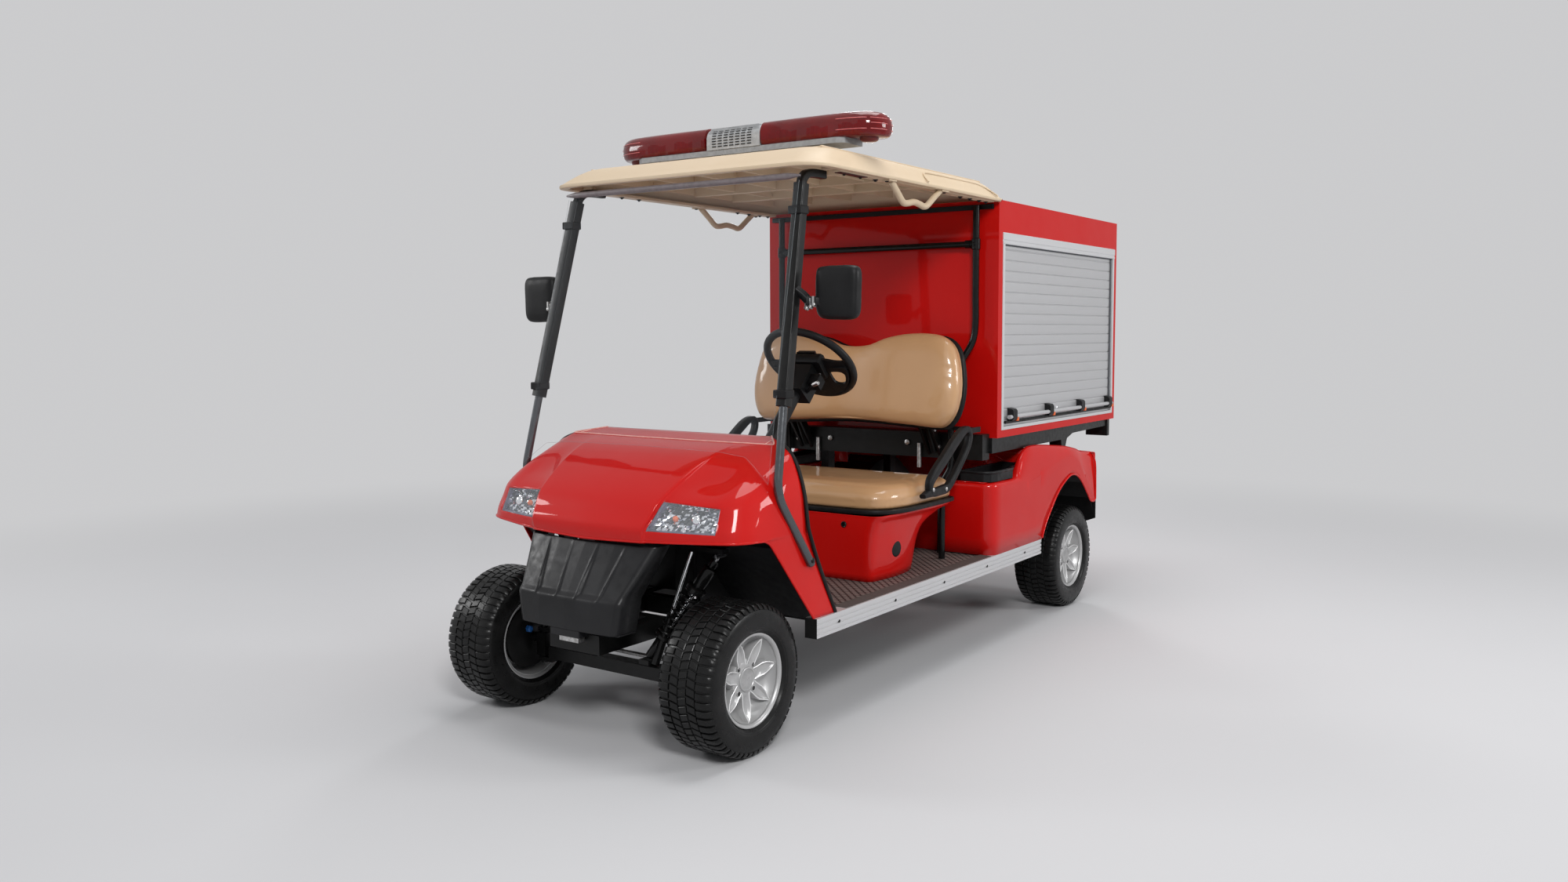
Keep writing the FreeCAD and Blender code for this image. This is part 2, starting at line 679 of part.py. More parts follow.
def front_apron():
    """The lower front panel, with four tapering ribs above a standing bumper."""
    halves = [(357, [(0, -233), (110, -231), (182, -225), (200, -206), (200, -130)]),
              (452, [(0, -231), (110, -229), (200, -221), (216, -200), (214, -120)]),
              (468, [(0, -215), (110, -213), (202, -208), (217, -190), (214, -110)]),
              (616, [(0, -132), (120, -128), (250, -108), (268, -88), (264, -40)])]
    outer, inner = [], []
    for height, half in halves:
        level = [(across, along, height) for across, along in half]
        outer.append(level + flipped(level)[:-1])
        level = [(across, along, height) for across, along in inset(half, 6)[:-1]] + [(half[-1][0] - 6, 20, height)]
        inner.append(level + flipped(level)[:-1])
    shell = lofted(outer).cut(lofted(inner))
    ribs = []
    for low, top in ((45, 52), (135, 160)):
        for side in (1, -1):
            foot = [(side * (low - 8), -222, 469), (side * (low + 8), -221, 469),
                    (side * (low + 8), -206, 469), (side * (low - 8), -206, 469)]
            head = [(side * (top - 3), -133, 612), (side * (top + 3), -132, 612),
                    (side * (top + 3), -118, 612), (side * (top - 3), -118, 612)]
            ribs.append(lofted([foot, head]))
    tab = box_shape((-60, 60), (-229, size("rail_front")), (318, 362))
    node("front_apron", made("apron", shell.fuse(ribs + [tab])))


def wheel_liners():
    """Inner guards of all four wheel arches and the rear mudflaps."""
    wall = plate([(229, 120, 345), (229, 330, 345), (229, 134, 570), (229, 120, 570)], (4, 0, 0))
    slope = plate([(233, 330, 345), (233, 330, 350), (233, 103, 608), (233, 98, 608)], (312, 0, 0))
    front = wall.fuse(slope).cut(cowl_leg())
    arch = [(2020, 420), (2110, 560), (2220, 622), (2330, 640), (2430, 622), (2520, 560), (2600, 480), (2644, 400)]
    strips = []
    for (y, z), (next_y, next_z) in zip(arch, arch[1:]):
        strips.append(plate([(365, y, z), (365, next_y, next_z), (365, next_y, next_z - 5), (365, y, z - 5)],
                            (216, 0, 0)))
    inside = plate([(360, y, z) for y, z in [(2000, 345)] + [(y, z) for y, z in arch] + [(2644, 345)]], (5, 0, 0))
    flap = plate([(500, 2645, 339), (500, 2645, 540), (581, 2645, 540), (590, 2645, 461), (590, 2645, 374)],
                 (0, 5, 0))
    rear = Part.makeCompound(strips + [inside, flap])
    node("wheel_liners", pair("liners", made("front_liner", front), made("rear_liner", rear)))


ARCH_LINE = [(1990, 300), (2036, 400), (2122, 490), (2204, 556), (2294, 598), (2350, 610), (2410, 600),
             (2470, 565), (2542, 502), (2592, 461), (2700, 461), (2700, 300)]

FENDER_STATIONS = [
    # along, height of the outer crease, height of the ridge
    (1775, 645, 657), (1805, 642, 690), (1850, 640, 740), (1905, 640, 768), (1990, 655, 772), (2084, 676, 766),
    (2322, 705, 742), (2430, 676, 724), (2500, 610, 708), (2570, 540, 698), (2645, 480, 690),
]


def fender():
    """The left rear wing from the ledge's end back to the tail."""
    skin = size("skin")
    half = size("sill_half")
    levels = []
    for y, crease, ridge in FENDER_STATIONS:
        middle = crease + 0.62 * (ridge - crease)
        low = size("sill_top")
        levels.append([(half, y, low), (half, y, crease), (half - 9, y, middle), (half - 28, y, ridge),
                       (half - 38, y, ridge), (half - 9 - skin, y, middle - 8), (half - skin, y, crease - 4),
                       (half - skin, y, low)])
    arch = plate([(500, y, z) for y, z in ARCH_LINE], (200, 0, 0))
    return lofted(levels).cut(arch)


def rear_body():
    """The red tub behind the seat: front wall with rounded corners, ledges, wings and decks."""
    skin, half, front = size("skin"), size("sill_half"), size("body_front")
    ledge, low, rear = size("body_ledge"), size("sill_top"), size("body_rear")
    outer = [(half, 1775), (half, front + 62), (half - 6, front + 32), (half - 24, front + 10), (half - 62, front)]
    inner = [(x - skin * (x > half - 40), y + skin * (y < front + 40)) for x, y in outer]
    inner[1] = (half - skin, front + 62)
    tub = plate([(x, y, low) for x, y in outer + flipped(outer) + list(reversed(flipped(inner))) +
                 list(reversed(inner))], (0, 0, ledge - low))
    profile = [(1927, 764), (2090, 760), (2322, 728), (rear, 690)]
    top = plate([(345, y, z) for y, z in profile + [(y, z - skin) for y, z in reversed(profile)]], (213, 0, 0))
    pieces = [tub]
    for x, depth in ((half - skin, 430 - half + skin), (skin - half, half - skin - 430)):
        pieces.append(plate([(x, front + skin, ledge - skin), (x, 1935, ledge - skin), (x, 1935, ledge),
                             (x, front + skin, ledge)], (depth, 0, 0)))
    wall = box_shape((345, 556), (1927, 1935), (ledge - skin, 760))
    tail = box_shape((-half + skin, half - skin), (rear - skin, rear), (520, 684))
    side = twins(fender()) + twins(top) + twins(wall)
    corner = box_shape((half - 62, half + 5), (front - 5, front + 62), (ledge - skin, ledge + 5))
    ledge_cut = twins(corner.cut(plate([(x, y, ledge - skin) for x, y in outer[1:] + [(half - 62, front + 62)]],
                                       (0, 0, 2 * skin))))
    whole = pieces[0].fuse(pieces[1:] + side + [tail])
    node("rear_body", made("rear_shell", whole.cut(ledge_cut)))


def storage_tray():
    """An open tray on each ledge behind the seat, with a rolled edge."""
    low = size("body_ledge")
    outer = [(438, 1542), (540, 1542), (566, 1560), (574, 1600), (574, 1745), (547, 1772), (547, 1924), (438, 1924)]
    inner = [(444, 1548), (538, 1548), (561, 1564), (568, 1602), (568, 1742), (541, 1768), (541, 1918), (444, 1918)]
    body = plate([(x, y, low) for x, y in outer], (0, 0, 38))
    hollow = plate([(x, y, low + 6) for x, y in inner], (0, 0, 60))
    tray = body.cut(hollow)
    node("storage_tray", pair("tray_pair", made("tray", tray)))


SEAT_BASE_RINGS = [
    (360, [(0, 848), (400, 848), (430, 860), (450, 1000), (440, 1115), (405, 1190), (340, 1222), (0, 1222)]),
    (512, [(0, 850), (404, 850), (438, 864), (456, 1000), (456, 1140), (430, 1215), (360, 1240), (0, 1240)]),
    (569, [(0, 852), (412, 852), (452, 868), (466, 1010), (470, 1230), (450, 1320), (375, 1340), (0, 1340)]),
    (597, [(0, 854), (424, 854), (466, 874), (484, 1030), (490, 1320), (480, 1380), (400, 1390), (0, 1390)]),
]


def seat_base():
    skin = size("skin")
    outer, inner = [], []
    for height, half in SEAT_BASE_RINGS:
        middle = 1040
        level = [(x, y, height) for x, y in half]
        outer.append(level + flipped(level[1:-1]))
        level = [(x - skin * (x > 0), y + skin * (1 if y < middle else -1), height) for x, y in half]
        inner.append(level + flipped(level[1:-1]))
    node("seat_base", made("base", lofted(outer).cut(lofted(inner))))


def seat_outline(shrink, z):
    half = [(340, 858), (420, 878), (462, 925), (488, 995), (500, 1070), (500, 1385)]
    level = [(x - shrink, y + (shrink if y < 1080 else -shrink), z) for x, y in half]
    return level + flipped(level)


def seat_cushion():
    low, top = size("seat_low"), size("seat_top")
    levels = [seat_outline(6, low), seat_outline(0, low + 18), seat_outline(0, top - 34), seat_outline(14, top - 8),
              seat_outline(44, top)]
    node("seat_cushion", made("cushion", lofted(levels)))


def seat_pan():
    low = size("seat_low")
    levels = [seat_outline(18, low - 14), seat_outline(-2, low - 6), seat_outline(-2, low - 0.3)]
    node("seat_pan", made("pan", lofted(levels)))


def back_outline(shrink):
    """The seat back's outline as (across, height), with a notch at its top and bottom."""
    half = [(0, 1216), (70, 1224), (150, 1256), (240, 1272), (340, 1273), (420, 1256), (470, 1205), (496, 1120),
            (504, 1029), (492, 950), (466, 900), (430, 878), (300, 882), (140, 892), (0, 896)]
    middle = 1075
    points = []
    for across, height in half:
        factor = 1 - shrink / 504
        points.append((across * factor, middle + (height - middle) * (1 - shrink / 198)))
    return points


def leaned(shape):
    """Lean an upright piece back about the foot of the seat back."""
    shape.rotate(Vector(0, 0, size("back_foot_z")), Vector(1, 0, 0), -size("back_lean"))
    shape.translate(Vector(0, size("back_foot_y"), 0))
    return shape


def back_level(shrink, depth):
    level = [(across, depth, height) for across, height in back_outline(shrink)]
    return level + flipped(level[1:-1])


def seat_back():
    depth = size("back_depth")
    levels = [back_level(34, 0), back_level(12, 10), back_level(0, 34), back_level(0, depth - 12), back_level(10, depth)]
    node("seat_back", made("back_pad", leaned(lofted(levels))))


def seat_back_frame():
    """The back's moulded shell, the bars that carry it and the roof's rear posts."""
    depth, radius = size("back_depth"), size("bar_radius")
    shell = leaned(lofted([back_level(8, depth + 0.3), back_level(14, depth + 12)]))
    pieces = [bar([(-475, 1590, 1605), (475, 1590, 1605)], radius)]
    for side in (-1, 1):
        post = [(365, 1512, 361), (372, 1514, 640), (400, 1530, 720), (400, 1530, 1060), (438, 1560, 1150),
                (466, 1584, 1215), (475, 1590, 1280), (475, 1590, 1752)]
        pieces.append(bar([(side * x, y, z) for x, y, z in post], radius))
        rib = plate([(side * 285, 1551, 752), (side * 285, 1551, 800), (side * 285, 1482, 905),
                     (side * 285, 1464, 905), (side * 285, 1455, 880)], (side * 12, 0, 0))
        pieces.append(rib)
        pieces.append(bar([(side * 400, 1528, 1000), (side * 330, 1482, 1000)], 9, 8))
    node("seat_back_frame", made("back_frame", shell.fuse(pieces)))


def armrests():
    """A flat moulded loop beside the seat on each side, on a bracket from the roof's post."""
    loop = [(1060, 640), (1085, 722), (1350, 872), (1440, 897), (1470, 852), (1440, 800), (1262, 640)]
    gap = [(1150, 674), (1388, 852), (1425, 850), (1412, 812), (1248, 674)]
    arm = plate([(508, y, z) for y, z in loop], (28, 0, 0)).cut(plate([(500, y, z) for y, z in gap], (50, 0, 0)))
    bracket = plate([(517, 1440, 856), (517, 1540, 856), (517, 1540, 880), (517, 1440, 880)], (10, 0, 0))
    reach = box_shape((413, 527), (1522, 1540), (858, 878))
    node("armrests", pair("armrest_pair", made("armrest", arm.fuse([bracket, reach]))))


# ---------------------------------------------------------------- roof and windshield
STRUT_FOOT = (576, 255, 545)
STRUT_BEND = (545, 122, 768)
SLEEVE_FOOT = (529, 180, 1031)
SLEEVE_TOP = (486, 341, 1719)


def front_struts(cowl):
    """The roof's front struts: a bent round foot, a square sleeve, and a hook under the roof."""
    radius = size("bar_radius")
    foot = bar([STRUT_FOOT, STRUT_BEND, SLEEVE_FOOT, (526, 191, 1080)], radius)
    sleeve = square_bar([SLEEVE_FOOT, SLEEVE_TOP, (483, 352, 1742), (483, 470, 1748)], 38)
    bolt = box_shape((545, 578), (245, 262), (545, 562))
    clips = []
    for x, y, z in ((516, 168, 1060), (480, 300, 1640)):
        clips.append(box_shape((x - 12, x + 12), (y - 12, y + 50), (z, z + 30)))
    strut = foot.fuse([sleeve, bolt] + clips).cut(sheet_shape())
    strut = max(strut.cut(cowl).Solids, key=lambda solid: solid.Volume)
    node("front_struts", pair("strut_pair", made("strut", strut)))


def sheet_shape():
    """The clear sheet in front of the struts, its lower edge following the cowl's shoulders."""
    low, top = (118, 880), (313, 1733)
    lean = (top[0] - low[0]) / (top[1] - low[1])
    half = [(0, 890), (330, 886), (430, 876), (528, 800), (520, 1000), (497, 1733)]
    face = [(x, low[0] + lean * (z - low[1]), z) for x, z in half]
    return plate(face + flipped(face[1:]), (0, -5, 0))


def windshield():
    strip = plate([(-504, 313, 1733), (-504, 303, 1732), (-504, 298, 1742), (-504, 306, 1749), (-504, 316, 1749)],
                  (1008, 0, 0))
    node("windshield", made("acrylic", sheet_shape().fuse(strip)))


def roof_ring(shrink, ends, z):
    half, front, rear = size("roof_half") - shrink, size("roof_front") + ends, size("roof_rear") - ends
    corner = 90 - 0.3 * shrink if shrink < 200 else 30
    points = [(half - corner, front), (half - 0.29 * corner, front + 0.29 * corner), (half, front + corner),
              (half, rear - corner), (half - 0.29 * corner, rear - 0.29 * corner), (half - corner, rear)]
    points = [(x, y, z) for x, y in points]
    return points + flipped(points)


def roof():
    """A moulded roof with bevelled edges, a hollow underside, cross ribs and a notch for the box."""
    low = size("roof_low")
    steps = [(0, 0, low), (0, 0, low + 12), (55, 105, low + 70), (150, 200, low + 90), (350, 380, low + 100)]
    outer = lofted([roof_ring(*step) for step in steps])
    under = [(28, 28, low - 10), (28, 28, low + 22), (64, 114, low + 62), (154, 206, low + 82), (352, 384, low + 92)]
    inner = lofted([roof_ring(*step) for step in under])
    notch = box_shape((-700, 700), (size("box_front") - 4, 2000), (1700, size("box_top") + 0.5))
    ribs = []
    for y, floor in ((430, 1768), (760, 1800), (1010, 1800), (1260, 1800), (1580, 1752)):
        width = 505 if floor > 1790 else 545
        ribs.append(box_shape((-width, width), (y, y + 20), (floor, 1836 if width == 505 else 1792)))
        if width == 545:
            ribs.append(box_shape((-505, 505), (y, y + 20), (1792, 1836)))
    node("roof", made("roof_shell", outer.cut(inner).fuse(ribs).cut(notch)))


def grab_handles():
    path = [(556, 736, 1768), (552, 766, 1732), (546, 869, 1704), (545, 983, 1710), (546, 1096, 1704),
            (552, 1294, 1732), (556, 1324, 1768)]
    handle = bar(path, 10, 8)
    top = box_shape((500, 600), (700, 1360), (1768, 1800))
    node("grab_handles", pair("handle_pair", made("grab_handle", handle.cut(top))))


def light_bar():
    """A grey base lying on two feet, a speaker in the middle and a swept lens at each end."""
    base = plate([(x, y, 1886) for x, y in ((-457, 640), (-430, 626), (430, 626), (457, 640), (457, 752),
                                            (-457, 752))], (0, 0, 19))
    feet = [box_shape((x, x + 44), (650, 740), (1865.1, 1886)) for x in (-330, 286)]
    speaker = lofted([[(x, y, z) for x, y in ((-inner, 622 + lean), (inner, 622 + lean), (inner, 756), (-inner, 756))]
                      for inner, lean, z in ((118, 0, 1905), (118, 0, 1950), (106, 12, 1982))])
    node("light_bar_body", made("bar_set", base.fuse(feet + [speaker])))
    plan = [(124, 616), (300, 612), (480, 622), (545, 648), (572, 690), (578, 740), (560, 772), (520, 778),
            (300, 772), (124, 768)]
    levels = []
    for z, shrink in ((1905, 8), (1922, 0), (1962, 2), (1988, 26)):
        level = []
        for x, y in plan:
            level.append((124 + (x - 124) * (1 - shrink / 454), 694 + (y - 694) * (1 - shrink / 84), z))
        levels.append(level)
    node("light_bar_lenses", pair("lens_pair", made("lens", lofted(levels))))


def mirrors():
    """Rounded door mirrors on arms from the struts."""
    shape = [(-74, 60), (-66, 78), (-50, 82), (56, 82), (72, 74), (77, 56), (74, -56), (66, -76), (48, -82),
             (-48, -78), (-68, -66), (-76, -40)]
    levels = []
    for y, factor in ((286, 0.8), (294, 0.97), (320, 1), (328, 0.96)):
        levels.append([(642 + x * factor, y, 1376 + z * factor) for x, z in shape])
    head = lofted(levels)
    arm = bar([(519, 262, 1390), (548, 280, 1388), (590, 308, 1380)], 8, 8)
    clamp = box_shape((525, 541), (258, 284), (1372, 1406))
    keep = square_bar([SLEEVE_FOOT, SLEEVE_TOP], 38)
    node("mirrors", pair("mirror_pair", made("mirror", head.fuse([arm, clamp]).cut(keep))))


# ---------------------------------------------------------------- equipment box
def equipment_box():
    outer = block("box_outer", ("-box_half", "box_half"), ("box_front", "box_rear"), ("box_low", "box_top"))
    inner = block("box_inner", ("-box_half + box_wall", "box_half - box_wall"),
                  ("box_front + box_wall", "box_rear - box_wall"), ("box_low + box_wall", "box_top - box_wall"))
    side = block("box_doorway", ("-box_half - 10", "box_half + 10"), ("shutter_front", "shutter_rear"),
                 ("shutter_low", "shutter_top"))
    node("equipment_box", cut("box_open", cut("box_hollow", outer, inner), side))


def shutters():
    """Slatted roller shutters with a lift bar on four brackets."""
    half, rail, pitch = size("box_half"), size("shutter_rail"), size("slat_pitch")
    low, top = size("shutter_low") + 13, size("shutter_top") - size("shutter_header")
    face, step = half - 8, [(0, 0), (0.88, 0), (0.91, -3), (0.97, -3)]
    front = [(face, low), (face, low + 28)]
    level = low + 28
    while level + 2 < top:
        front += [(face + out, level + pitch * part) for part, out in step if level + pitch * part < top]
        level += pitch
    corners = front[:1] + front[2:] + [(front[-1][0], top), (face - 9, top), (face - 9, low)]
    start, end = size("shutter_front") + rail, size("shutter_rear") - rail
    slab = plate([(x, start, z) for x, z in corners], (0, end - start, 0))
    grip = bar([(half + 12, start + 34, 911), (half + 12, end - 8, 911)], 8, 8)
    brackets = []
    for y in (1743, 2126, 2492, 2849):
        brackets.append(box_shape((face - 1, half + 21), (y, y + 30), (897, 927)))
    shutter = slab.fuse([grip] + brackets)
    node("shutters", pair("shutter_pair", made("shutter", shutter)))


def shutter_frames():
    outer = block("rail_outer_face", ("box_half - 20", "box_half + 2"), ("shutter_front", "shutter_rear"),
                  ("shutter_low", "shutter_top"))
    inner = block("rail_opening", ("box_half - 30", "box_half + 10"),
                  ("shutter_front + shutter_rail", "shutter_rear - shutter_rail"),
                  ("shutter_low + 13", "shutter_top - shutter_header"))
    node("shutter_frames", pair("frame_pair", cut("shutter_rails", outer, inner)))


def box_subframe():
    """Bearers under the box, the beam behind the seat and the legs down to the frame."""
    side = [("1612", "766"), ("2330", "768"), ("2340", "732"), ("2381", "732"), ("2400", "770"), ("2467", "789"),
            ("2895", "795"), ("2895", "box_low"), ("1612", "box_low")]
    bearer = prism("bearer", "YZ_Plane", side, "485", "543")
    cross = [block(f"bearer_cross_{number}", ("-485", "485"), (str(y), str(y + 50)), ("box_low - 38", "box_low"))
             for number, y in enumerate((1700, 2250, 2845))]
    beam = block("front_beam", ("-530", "530"), ("1551", "1612"), ("742", "845"))
    pieces = [bearer]
    for number, y in enumerate((1700, 2250)):
        pieces.append(block(f"bearer_leg_{number}", ("300", "340"), (str(y), str(y + 50)), ("rail_low", "box_low - 38")))
        pieces.append(block(f"bearer_foot_{number}", ("rail_outer", "300"), (str(y), str(y + 50)),
                            ("rail_low", "floor_low")))
    pieces += [mirrored(f"{thing.Name}_twin", thing) for thing in pieces]
    node("box_subframe", fuse("bearers", pieces + cross + [beam]))


def tail_lamps():
    lamp = block("tail_lamp", ("440", "550"), ("2895", "2925"), ("745", "box_low"))
    lens = block("tail_lamp_lens", ("447", "543"), ("2925", "2932"), ("752", "box_low - 7"))
    node("tail_lamps", pair("tail_lamp_pair", fuse("tail_lamp_body", [lamp, lens])))


# ---------------------------------------------------------------- assembly
cowl = cowl_shape()
dash = dash_shape()

chassis_frame()
cross_members()
floor_mat()
sills()
front_axle()
rear_axle()
springs()
battery_pack()
tyre, rim = tyre_shape(), rim_shape()
for place, side in (("left", 1), ("right", -1)):
    wheel_place(f"tyre_front_{place}", tyre, side, "front_track_half", "0")
    wheel_place(f"rim_front_{place}", rim, side, "front_track_half", "0")
    wheel_place(f"tyre_rear_{place}", tyre, side, "rear_track_half", "wheelbase")
    wheel_place(f"rim_rear_{place}", rim, side, "rear_track_half", "wheelbase")
    knuckle(f"knuckle_{place}", side)
tie_rod()
steering_wheel()
steering_column(dash)
pedals()
node("front_cowl", made("cowl", cowl))
node("dashboard", made("dash", dash))
front_apron()
headlamps()
wheel_liners()
rear_body()
storage_tray()
seat_base()
seat_cushion()
seat_pan()
seat_back()
seat_back_frame()
armrests()
front_struts(cowl)
windshield()
roof()
grab_handles()
light_bar()
mirrors()
equipment_box()
shutters()
shutter_frames()
box_subframe()
tail_lamps()

doc.recompute()
failed = [thing.Name for thing in doc.Objects if {"Invalid", "Error"} & set(thing.State)]
if failed:
    raise RuntimeError(f"not built: {failed}")
os.makedirs("parts", exist_ok=True)
for thing in nodes:
    if thing.Shape.isNull() or not thing.Shape.isValid():
        raise RuntimeError(f"bad shape: {thing.Label}")
    thing.Shape.exportStep(f"parts/{thing.Label}.step")
    box = thing.Shape.BoundBox
    print(f"{thing.Label:18} {len(thing.Shape.Solids)} solids "
          f"x {box.XMin:.0f} {box.XMax:.0f} y {box.YMin:.0f} {box.YMax:.0f} z {box.ZMin:.0f} {box.ZMax:.0f}")
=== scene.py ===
"""Looks of the electric fire response cart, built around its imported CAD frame.

Lengths are written in millimetres in the cart's own directions (X to its left, Y back
from the front axle, Z up) and turned into the frame's metres by `mm`.
"""
import math

import bmesh
import bpy
import numpy as np
from mathutils import Matrix, Vector


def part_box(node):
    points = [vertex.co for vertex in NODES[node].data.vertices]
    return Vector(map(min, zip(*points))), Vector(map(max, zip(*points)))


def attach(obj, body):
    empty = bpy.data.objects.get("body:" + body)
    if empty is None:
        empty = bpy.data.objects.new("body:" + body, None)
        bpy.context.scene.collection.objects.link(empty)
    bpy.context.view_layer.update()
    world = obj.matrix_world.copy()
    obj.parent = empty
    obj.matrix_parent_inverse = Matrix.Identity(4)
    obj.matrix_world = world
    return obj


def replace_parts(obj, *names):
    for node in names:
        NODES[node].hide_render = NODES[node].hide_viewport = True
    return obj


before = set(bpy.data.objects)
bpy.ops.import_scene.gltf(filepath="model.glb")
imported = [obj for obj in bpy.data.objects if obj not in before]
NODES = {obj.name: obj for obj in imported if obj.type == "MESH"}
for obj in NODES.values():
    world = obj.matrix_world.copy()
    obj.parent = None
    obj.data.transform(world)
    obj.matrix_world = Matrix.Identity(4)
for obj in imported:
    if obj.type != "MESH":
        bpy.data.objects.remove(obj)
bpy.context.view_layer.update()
FRONT_AXLE = sum(corner.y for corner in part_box("tyre_front_left")) / 2
REAR_AXLE = sum(corner.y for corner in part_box("tyre_rear_left")) / 2
SIDES = ((1, "left"), (-1, "right"))


def mm(x, y, z):
    """A place given in millimetres from the front axle, as a point of the frame."""
    return Vector((x / 1000, y / 1000 + FRONT_AXLE, z / 1000))


# ---------------------------------------------------------------- materials
class Finish:
    """A node material around one Principled shader, with short calls for its parts."""

    def __init__(self, name, colour, roughness=0.5, metallic=0.0, coat=0.0, coat_roughness=0.05,
            specular=None):
        self.material = bpy.data.materials.new(name)
        self.material.use_nodes = True
        self.tree = self.material.node_tree
        self.shader = self.tree.nodes["Principled BSDF"]
        self.set("Base Color", (*colour, 1))
        self.set("Roughness", roughness)
        self.set("Metallic", metallic)
        self.set("Coat Weight", coat)
        self.set("Coat Roughness", coat_roughness)
        if specular is not None:
            self.set("Specular IOR Level", specular)
        self.place = self.add("ShaderNodeTexCoord").outputs["Object"]

    def set(self, socket, value):
        self.shader.inputs[socket].default_value = value

    def add(self, kind, **values):
        made = self.tree.nodes.new(kind)
        for name, value in values.items():
            setattr(made, name, value)
        return made

    def link(self, start, end):
        self.tree.links.new(start, end)

    def stretched(self, scale):
        """Object coordinates scaled apart along the three axes."""
        mapping = self.add("ShaderNodeMapping")
        mapping.inputs["Scale"].default_value = scale
        self.link(self.place, mapping.inputs["Vector"])
        return mapping.outputs["Vector"]

    def noise(self, scale, detail=3.0, place=None):
        made = self.add("ShaderNodeTexNoise")
        made.inputs["Scale"].default_value = scale
        made.inputs["Detail"].default_value = detail
        self.link(place or self.place, made.inputs["Vector"])
        return made.outputs["Fac"]

    def cells(self, scale, **options):
        """A cell texture's node."""
        made = self.add("ShaderNodeTexVoronoi", **options)
        made.inputs["Scale"].default_value = scale
        self.link(self.place, made.inputs["Vector"])
        return made

    def ramp(self, value, low, high, start, end, **options):
        """A value from low to high remapped to start..end."""
        made = self.add("ShaderNodeMapRange", **options)
        for socket, number in zip(("From Min", "From Max", "To Min", "To Max"), (low, high, start, end)):
            made.inputs[socket].default_value = number
        self.link(value, made.inputs["Value"])
        return made.outputs["Result"]

    def colours(self, value, first, second, low=0.35, high=0.65):
        """The base colour mixed between two colours by a value."""
        made = self.add("ShaderNodeValToRGB")
        for element, position, colour in zip(made.color_ramp.elements, (low, high), (first, second)):
            element.position, element.color = position, (*colour, 1)
        self.link(value, made.inputs["Fac"])
        self.link(made.outputs["Color"], self.shader.inputs["Base Color"])
        return self

    def rough(self, value, low, high):
        self.link(self.ramp(value, 0.3, 0.7, low, high), self.shader.inputs["Roughness"])
        return self

    def bump(self, height, strength, distance):
        made = self.add("ShaderNodeBump")
        made.inputs["Strength"].default_value = strength
        made.inputs["Distance"].default_value = distance
        self.link(height, made.inputs["Height"])
        self.link(made.outputs["Normal"], self.shader.inputs["Normal"])
        return self

    def math(self, operation, first, second=None):
        made = self.add("ShaderNodeMath", operation=operation)
        for socket, value in zip(made.inputs, (first, second)):
            if isinstance(value, (int, float)):
                socket.default_value = value
            elif value is not None:
                self.link(value, socket)
        return made.outputs[0]


def surface(name, colour, roughness, tones, rough, bump=None, **options):
    """A finish whose tone, roughness and height each follow a noise: its scale and detail come first."""
    finish = Finish(name, colour, roughness, **options)
    finish.colours(finish.noise(*tones[:2]), *tones[2:])
    finish.rough(finish.noise(*rough[:2]), *rough[2:])
    if bump:
        finish.bump(finish.noise(*bump[:2]), *bump[2:])
    return finish.material


def gloss_red(name, waviness, coat):
    """Sprayed red gelcoat: deep colour under a clear coat, with faint orange peel."""
    return surface(name, (0.56, 0.004, 0.003), 0.5, (1.2, 2, (0.55, 0.003, 0.002), (0.575, 0.005, 0.003)),
        (8, 2, 0.46, 0.54), (260, 2, 0.02, waviness), coat=coat, coat_roughness=0.035, specular=0.08)


def satin_black(name, level=0.006, roughness=0.34):
    """Powder-coated steel with a fine pebble and a little dust in its tone."""
    return surface(name, (level,) * 3, roughness, (14, 5, (level * 0.8,) * 3, (level * 1.3,) * 3),
        (60, 4, roughness - 0.06, roughness + 0.1), (900, 3, 0.08, 0.0004), specular=0.24)


def moulded_black(name, level=0.007, roughness=0.42):
    """Grained black polypropylene, greyer where it has weathered."""
    finish = Finish(name, (level, level, level * 1.1), roughness, specular=0.2)
    finish.colours(finish.noise(6, 6), (level * 0.85, level * 0.85, level * 0.9),
        (level * 1.3, level * 1.3, level * 1.4))
    finish.rough(finish.noise(40, 4), roughness - 0.08, roughness + 0.12)
    return finish.bump(finish.cells(700).outputs["Distance"], 0.12, 0.0005).material


def rubber(name, level=0.007, roughness=0.55):
    """Matt black rubber with a coarse, dusty tone."""
    return surface(name, (level,) * 3, roughness, (18, 6, (level * 0.7,) * 3, (level * 1.5,) * 3),
        (50, 5, roughness - 0.1, roughness + 0.12), (500, 4, 0.12, 0.0004), specular=0.24)


def brushed(name, level, roughness, grain):
    """Aluminium with its drawing lines along one direction of the cart."""
    finish = Finish(name, (level, level, level * 1.02), roughness, 0.55)
    lines = finish.noise(1.0, 6, finish.stretched(grain))
    finish.colours(lines, (level * 0.94,) * 3, (level, level, level * 1.03), 0.3, 0.7)
    finish.rough(lines, roughness - 0.04, roughness + 0.05)
    return finish.bump(lines, 0.03, 0.0001).material


def alloy_paint(name, level):
    """Silver lacquer on cast alloy: fine metal flake under a clear coat."""
    return surface(name, (level,) * 3, 0.36, (1400, 2, (level * 0.92,) * 3, (level * 1.06,) * 3, 0.3, 0.7),
        (30, 3, 0.32, 0.40), (600, 2, 0.02, 0.0002), metallic=0.45, coat=0.3)


def chrome():
    """Plating with a slightly uneven polish."""
    finish = Finish("chrome", (0.82, 0.83, 0.85), 0.08, 1.0)
    return finish.rough(finish.noise(40, 3), 0.05, 0.14).material


